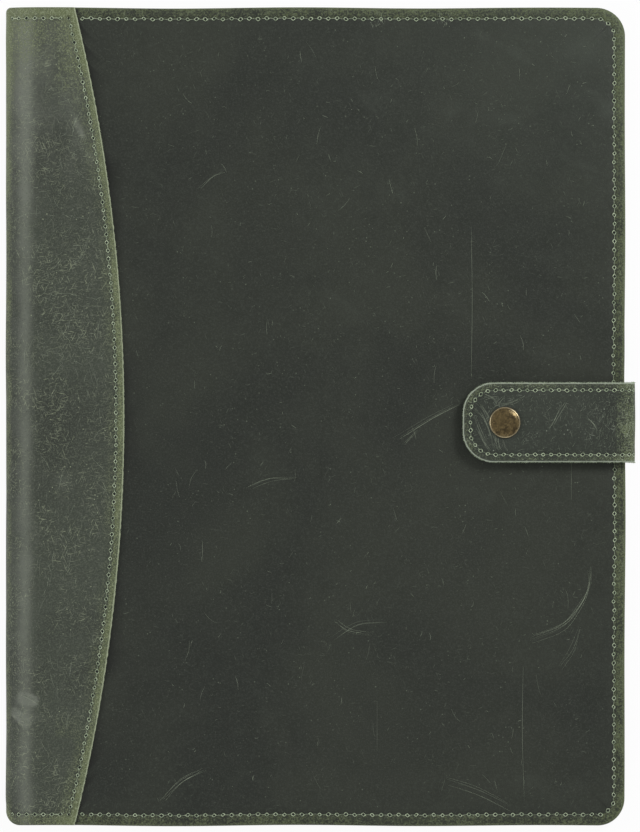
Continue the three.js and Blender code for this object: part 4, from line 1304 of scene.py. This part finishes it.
sheets = []
SHEETS = 50
for i in range(SHEETS):
    z0 = PAPER_HIGH[2] - (SHEETS - i) * SHEET_PITCH
    slip_x, slip_y = rng.uniform(-0.12, 0.12, 2)
    low = (PAPER_LOW[0] + 0.15 + slip_x, PAPER_LOW[1] + 0.15 + slip_y, z0)
    high = (PAPER_HIGH[0] - 0.15 + slip_x, PAPER_HIGH[1] - 0.02, z0 + SHEET_PITCH * 0.94)
    sheets.append((low, high))
sleeve_head = node_box("pad_sleeve")[1][1]
head_low = (PAPER_LOW[0] + 0.1, sleeve_head + 1, PAPER_LOW[2])
sheets.append((head_low, (PAPER_HIGH[0] - 0.1, PAPER_HIGH[1] - 0.05, PAPER_HIGH[2] - SHEETS * SHEET_PITCH)))
sheet_stack("pad_sheets", sheets)
backing_plate = Plate(backing_low[0], backing_high[0], backing_low[1], backing_high[1], (1, 1, 1, 1), 3.0)
backing = plate_piece(
    "pad_backing_board", backing_plate,
    lambda p: np.stack([p[:, 0], p[:, 1], backing_high[2] + p[:, 2]], axis=1),
    lambda a, b, inset: -rounded_edge(inset, 0.2), [(0.0, -0.8), (0.2, -1.0)], board_finish, "board",
    near=[0.02, 0.08, 0.2, 0.5, 2, BORDER], far=3,
)
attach(backing, "pad")
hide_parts("pad_backing")
TAPE_THICK = 0.3
tape_lap = tape_high[1] - tape_low[1]
tape_fall = tape_high[2] - tape_low[2]
TAPE_CORNER = 0.6


def tape_map(p):
    """(x, run from the lap's edge over the head and down, h)."""
    x, r, h = p[:, 0], p[:, 1], p[:, 2]
    turn = np.clip((r - tape_lap + TAPE_CORNER) / TAPE_CORNER, 0, math.pi / 2)
    radius = TAPE_CORNER + h
    past_lap = tape_high[1] - TAPE_CORNER + radius * np.sin(turn)
    y = np.where(r < tape_lap - TAPE_CORNER, tape_low[1] + r, past_lap)
    fall = np.clip(r - tape_lap + TAPE_CORNER - TAPE_CORNER * math.pi / 2, 0, None)
    z = tape_high[2] - TAPE_CORNER + radius * np.cos(turn) - fall
    return np.stack([x, y, z], axis=1)


tape_x = np.linspace(tape_low[0], tape_high[0], 120)
tape_r = np.concatenate([
    np.linspace(0, tape_lap - TAPE_CORNER, 14), np.linspace(tape_lap - 0.5, tape_lap + 0.4, 8),
    np.linspace(tape_lap + 0.6, tape_lap + tape_fall - 0.9, 6),
])
tr, tx = np.meshgrid(tape_r, tape_x)
tape_top = -0.02 + 0.02 * waves(tx, tr, 12, 5)
tape = slab("pad_tape", tx, tr, tape_top, -TAPE_THICK + 0 * tr, tape_map, tape_finish, "binding")
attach(tape, "pad")
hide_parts("pad_binding_tape")

# Nodes of the frame that are shown as they are
for name, finish, slot in (
    ("front_board", board_finish, "board"),
    ("back_board", board_finish, "board"),
    ("snap_eyelet", brass_finish, "brass"),
):
    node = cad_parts[name]
    node.data.materials.clear()
    node.data.materials.append(finish)


# Scratches and creases
MARK_WIDTH = 0.18
WANDER = 0.25


def marks(name, lines, width, lift, mapping, slot):
    """Thin tapered ridges along lines on a face, such as scratches in the wax."""
    points, faces, pale = [], [], []
    for line in lines:
        path = curve_through(line, 6)
        strength = rng.uniform(0.12, 0.9)
        ways = np.gradient(path, axis=0)
        ways = np.stack([-ways[:, 1], ways[:, 0]], axis=1)
        ways /= np.linalg.norm(ways, axis=1)[:, None] + 1e-9
        base = len(points)
        count = len(path)
        for k, (spot, way) in enumerate(zip(path, ways)):
            taper = math.sin(math.pi * (k + 0.4) / (count - 0.2)) ** 0.6
            half = width / 2 * taper * rng.uniform(0.6, 1.2)
            height = lift(spot[0], spot[1])
            for off, h in ((-half, -0.04), (0, 0.035), (half, -0.04), (0, -0.08)):
                points.append((spot[0] + way[0] * off, spot[1] + way[1] * off, height + h))
                pale.append(strength)
        faces += [tuple(base + k for k in face) for face in ring_faces(count, 4)]
    return make_piece(name, mapping(np.array(points)), faces, mark_finish, slot, {"pale": pale})


def bundle(line, count, spread):
    """Several scratches beside each other along one line."""
    out = []
    for _ in range(count):
        shift = rng.normal(0, spread, 2)
        out.append([
            (x + shift[0] + rng.normal(0, WANDER), y + shift[1] + rng.normal(0, WANDER)) for x, y in line
        ])
    return out


def scattered(count, low, high, lengths, turn, turn_spread, curl):
    """Short curved lines at random places in a box, mostly along one direction."""
    out = []
    for _ in range(count):
        middle = rng.uniform(low, high)
        length = lengths[0] * (lengths[1] / lengths[0]) ** rng.uniform()
        angle = math.radians(turn + rng.normal(0, turn_spread))
        bow = rng.normal(0, curl) * length
        half = np.array([math.cos(angle), math.sin(angle)]) * length / 2
        aside = np.array([-math.sin(angle), math.cos(angle)]) * bow
        out.append([tuple(middle - half), tuple(middle + aside), tuple(middle + half)])
    return out


front_base = panel_base(front)
overlay_height = overlay_base(front)


def panel_lift(a, b):
    return at_point(front_base, a, b, min(FORE_X - a, HEAD_Y - b, b - TAIL_Y, a - ROLL_X))


def overlay_lift(a, b):
    return at_point(overlay_height, a, b)


# Long scuffs that the photograph shows: a line, the number of thin lines beside it and their spread
scuffs = [
    (pixels((587, 570), (586, 588), (577, 606), (560, 626), (529, 638)), 7, 1.2),
    (pixels((458, 405), (432, 418), (398, 439)), 5, 0.9),
    (pixels((420, 432), (412, 440), (406, 446)), 3, 0.8),
    (pixels((248, 487), (270, 478), (294, 476)), 3, 0.9),
    (pixels((332, 639), (356, 624), (385, 621)), 4, 0.9),
    (pixels((336, 620), (350, 630), (372, 633)), 3, 0.9),
    (pixels((161, 802), (180, 783), (203, 771)), 4, 0.9),
    (pixels((446, 780), (478, 790), (510, 806)), 4, 1.0),
    (pixels((200, 190), (212, 178), (224, 172)), 2, 0.7),
    (pixels((560, 668), (572, 650), (580, 628)), 3, 0.9),
]
panel_marks = [
    pixels((471, 225), (472, 300), (471, 379)), pixels((523, 665), (522, 730), (524, 800)),
    pixels((377, 701), (377, 750)), pixels((571, 460), (571, 500)),
]
for line, count, spread in scuffs:
    panel_marks += bundle(line, count, spread)
PANEL_FIELD = ((-60.0, -150.0), (112.0, 150.0))
TUFTS = (378, 444)


def clear_of_strap(lines):
    """Leaves out lines that would run under the strap or past the overlay's edge."""
    out = []
    for line in lines:
        under = any(x > STRAP_TIP_X - 2 and abs(y - STRAP_Y) < STRAP_HALF + 2 for x, y in line)
        if not under and all(x > arc_x(y) + 3 and x < FORE_X - 7 and abs(y) < HEAD_Y - 7 for x, y in line):
            out.append(line)
    return out


panel_marks += clear_of_strap(scattered(80, *PANEL_FIELD, (2.0, 9.0), 92, 20, 0.05))
panel_marks += clear_of_strap(scattered(420, *PANEL_FIELD, (0.4, 2.6), 40, 60, 0.08))
for px in TUFTS:
    panel_marks += scattered(22, pixel(px - 7, 27), pixel(px + 7, 13), (0.6, 2.4), 90, 25, 0.05)
panel_scratches = marks(
    "panel_scratches", panel_marks, MARK_WIDTH, panel_lift, front.flat, "panel_leather",
)
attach(panel_scratches, "front_cover")
overlay_marks = bundle(pixels((90, 234), (85, 249), (80, 262), (72, 260)), 3, 0.3)
overlay_marks += bundle(pixels((76.5, 116), (73, 136)), 2, 0.3)
overlay_marks += bundle(pixels((22, 693), (32, 698), (42, 703)), 4, 0.6)
overlay_marks += bundle(pixels((13, 709), (21, 717), (29, 725)), 4, 0.6)
fine_lines = scattered(420, (-119.0, -156.0), (-84.0, 156.0), (0.8, 9.0), 88, 24, 0.05)
fine_lines += scattered(340, (-117.0, 20.0), (-86.0, 158.0), (0.8, 6.0), 8, 20, 0.05)
overlay_marks += [line for line in fine_lines if all(x < arc_x(y) - 5 for x, y in line)]
overlay_lines = [[(to_run(x), y) for x, y in line] for line in overlay_marks]
overlay_scratches = marks(
    "overlay_scratches", overlay_lines, MARK_WIDTH, overlay_lift, front.wrap, "overlay_leather",
)
bend_over_spine(overlay_scratches, front)

# Creases of the strap round the cap and towards its bend
creases = [
    pixels((478, 402), (485, 410), (490, 418), (495, 434), (498, 450)),
    pixels((474, 408), (483, 417), (490, 432), (494, 448)),
    pixels((482, 412), (488, 427), (492, 440)),
    pixels((477, 427), (483, 442), (490, 451)),
    pixels((480, 405), (487, 418), (492, 430), (500, 451)),
    pixels((475, 415), (480, 430), (486, 443)),
    pixels((495, 437), (498, 450)),
    pixels((502, 441), (507, 451)),
    pixels((496, 406), (499, 401), (504, 396)),
    pixels((489, 411), (496, 405), (508, 402), (520, 397)),
    pixels((500, 405), (510, 403), (519, 399)),
    pixels((485, 395), (494, 399), (497, 405)),
    pixels((481, 399), (489, 397), (497, 396)),
    pixels((560, 408), (554, 419), (549, 428)),
    pixels((566, 403), (560, 412), (553, 426)),
    pixels((586, 417), (593, 424), (597, 431)),
]
crease_lines = []
for line in creases:
    crease_lines += bundle([(x - STRAP_TIP_X, y - STRAP_Y) for x, y in line], 3, 0.4)
strap_marks = []
short_lines = scattered(330, (3.5, -12.0), (FLAP_RUN + 2, 12.0), (0.5, 3.0), 78, 38, 0.05)
short_lines += scattered(160, (FLAP_RUN - 14, -12.0), (FLAP_RUN + 2, 12.0), (0.5, 3.2), 86, 18, 0.05)
for line in short_lines:
    off_cap = all(math.hypot(x - SNAP_RUN, y) > CAP_R + 0.6 for x, y in line)
    if off_cap and all(strap_plate.inset(np.array([x]), np.array([y]))[0] > 3.9 for x, y in line):
        strap_marks.append(line)
for name, lines, width in (("strap_creases", crease_lines, 0.2), ("strap_scratches", strap_marks, 0.14)):
    bend_to_flap(marks(name, lines, width, strap_lift, strap_map, "strap_leather"))

# Fibres that stand out of the raw edges
HAIR_RADIUS = 0.055
HAIR_STEPS, HAIR_SIDES = 3, 3


def fuzz(name, line, h_range, count, lengths, mapping, slot, seed, highest=math.inf):
    """Short curved hairs along an edge, none above highest; left of the line's direction is outside."""
    r = np.random.default_rng(seed)
    line = np.asarray(line, dtype=float)
    run = line_run(line)
    points, faces = [], []
    for _ in range(count):
        at = r.uniform(0, run[-1])
        spot, ahead, behind = along_line(line, run, np.array([at, at + 0.3, at - 0.3]))
        way = (ahead - behind) / (np.linalg.norm(ahead - behind) + 1e-9)
        out = np.array([-way[1], way[0]])
        lean = r.normal(0, 1.0)
        length = r.uniform(*lengths)
        h = r.uniform(*h_range)
        rise = r.normal(0, 0.25)
        base = len(points)
        for k in range(HAIR_STEPS):
            f = k / (HAIR_STEPS - 1)
            reach = (out * 0.7 + way * lean * f) / math.hypot(0.7, lean * f + 1e-9) * length * f
            middle = spot + reach - out * 0.08
            thick = HAIR_RADIUS * (1 - 0.6 * f)
            for s in range(HAIR_SIDES):
                w = 2 * math.pi * s / HAIR_SIDES
                aside = way * math.cos(w) * thick
                level = min(h + rise * f + thick * math.sin(w), highest)
                points.append((middle[0] + aside[0], middle[1] + aside[1], level))
        faces += [tuple(base + k for k in face) for face in ring_faces(HAIR_STEPS, HAIR_SIDES)]
    return make_piece(name, mapping(np.array(points)), faces, thread_finish, slot)


nose_runs = NOSE * (1 - np.sin(np.linspace(0, math.pi / 2, 24)))
outline_runs = np.concatenate([np.arange(STRAP_SPLIT, NOSE, -1.0), nose_runs])
half_outline = [(r, float(strap_half(r))) for r in outline_runs]
strap_outline = half_outline + [(r, -y) for r, y in half_outline[::-1]]
bend_to_flap(fuzz(
    "strap_edge_fibres", strap_outline[::-1], (-1.5, -0.15), 2600, (0.2, 0.6), strap_map, "strap_leather", 21,
))
for side in (front, back):
    rim_line = [(to_run(float(arc_x(y))), y) for y in np.linspace(TAIL_Y + 1, HEAD_Y - 1, 120)[::-1]]
    lowest, highest = (-0.8, math.inf) if side.front else (-0.3, -0.02)
    overlay_fuzz = fuzz(
        side.name + "_overlay_fibres", rim_line, (lowest, -0.12), 1500, (0.15, 0.45), side.wrap,
        "overlay_leather", 22, highest,
    )
    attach(overlay_fuzz, side.body)

# Floor, light and camera
def show_camera(tree, share, usual, seen, output):
    """Mixes a share of another shader into the usual one, for what the camera sees.

    That is what it sees straight, in a reflection or through a clear piece.
    """
    nodes, links = tree.nodes, tree.links
    path = nodes.new("ShaderNodeLightPath")
    total = path.outputs["Is Camera Ray"]
    for kind in ("Is Glossy Ray", "Is Transmission Ray"):
        add = nodes.new("ShaderNodeMath")
        add.operation = "MAXIMUM"
        links.new(total, add.inputs[0])
        links.new(path.outputs[kind], add.inputs[1])
        total = add.outputs["Value"]
    scaled = nodes.new("ShaderNodeMath")
    scaled.operation = "MULTIPLY"
    scaled.inputs[1].default_value = share
    links.new(total, scaled.inputs[0])
    mix = nodes.new("ShaderNodeMixShader")
    links.new(scaled.outputs["Value"], mix.inputs["Fac"])
    links.new(usual.outputs[0], mix.inputs[1])
    links.new(seen.outputs[0], mix.inputs[2])
    links.new(mix.outputs["Shader"], nodes[output].inputs["Surface"])


FLOOR_REACH = 4
FLOOR_DROP = 0.0004
floor_mesh = bpy.data.meshes.new("floor")
floor_corners = [(x * FLOOR_REACH, y * FLOOR_REACH, 0) for x, y in ((-1, -1), (1, -1), (1, 1), (-1, 1))]
floor_mesh.from_pydata(floor_corners, [], [(0, 1, 2, 3)])
floor = bpy.data.objects.new("floor", floor_mesh)
floor.location.z = -FLOOR_DROP
bpy.context.scene.collection.objects.link(floor)
floor_finish = bpy.data.materials.new("floor")
floor_finish.use_nodes = True
matte = floor_finish.node_tree.nodes["Principled BSDF"]
matte.inputs["Base Color"].default_value = (0.86, 0.86, 0.86, 1)
matte.inputs["Roughness"].default_value = 0.9
glow = floor_finish.node_tree.nodes.new("ShaderNodeEmission")
glow.inputs["Strength"].default_value = 1.0
show_camera(floor_finish.node_tree, 0.94, matte, glow, "Material Output")
floor_mesh.materials.append(floor_finish)

world = bpy.data.worlds.new("studio")
bpy.context.scene.world = world
world.use_nodes = True
room = world.node_tree.nodes["Background"]
room.inputs["Color"].default_value = (0.96, 0.98, 1.0, 1)
room.inputs["Strength"].default_value = 0.4
backdrop = world.node_tree.nodes.new("ShaderNodeBackground")
backdrop.inputs["Color"].default_value = (1, 1, 1, 1)
backdrop.inputs["Strength"].default_value = 1.0
show_camera(world.node_tree, 1.0, room, backdrop, "World Output")


def lamp(name, place, size, power):
    """A round area light that points at the middle of the folio."""
    light = bpy.data.lights.new(name, "AREA")
    light.shape = "DISK"
    light.size = size
    light.energy = power
    holder = bpy.data.objects.new(name, light)
    holder.location = place
    holder.rotation_mode = "QUATERNION"
    holder.rotation_quaternion = (-Vector(place)).to_track_quat("-Z", "Y")
    bpy.context.scene.collection.objects.link(holder)


lamp("key", (0.75, 0.65, 0.95), 0.5, 11)
lamp("fill", (-1.0, 0.1, 0.5), 0.7, 5)
lamp("low", (0.1, -1.0, 0.6), 0.8, 2)

# The camera looks straight down and shows a height of TALL_SIDE millimetres
CAMERA_X, CAMERA_Y = 1.96, 0.3
TALL_SIDE = 335.6
LENS = 600.0
SENSOR = 36.0
camera_data = bpy.data.cameras.new("camera")
camera_data.lens = LENS
camera_data.sensor_width = SENSOR
camera_data.clip_start = 0.05
camera_data.clip_end = 20.0
camera = bpy.data.objects.new("camera", camera_data)
camera.location = (CAMERA_X * MM, CAMERA_Y * MM, (TOP_Z + LENS / SENSOR * TALL_SIDE) * MM)
bpy.context.scene.collection.objects.link(camera)
bpy.context.scene.camera = camera
bpy.context.scene.view_settings.view_transform = "Standard"
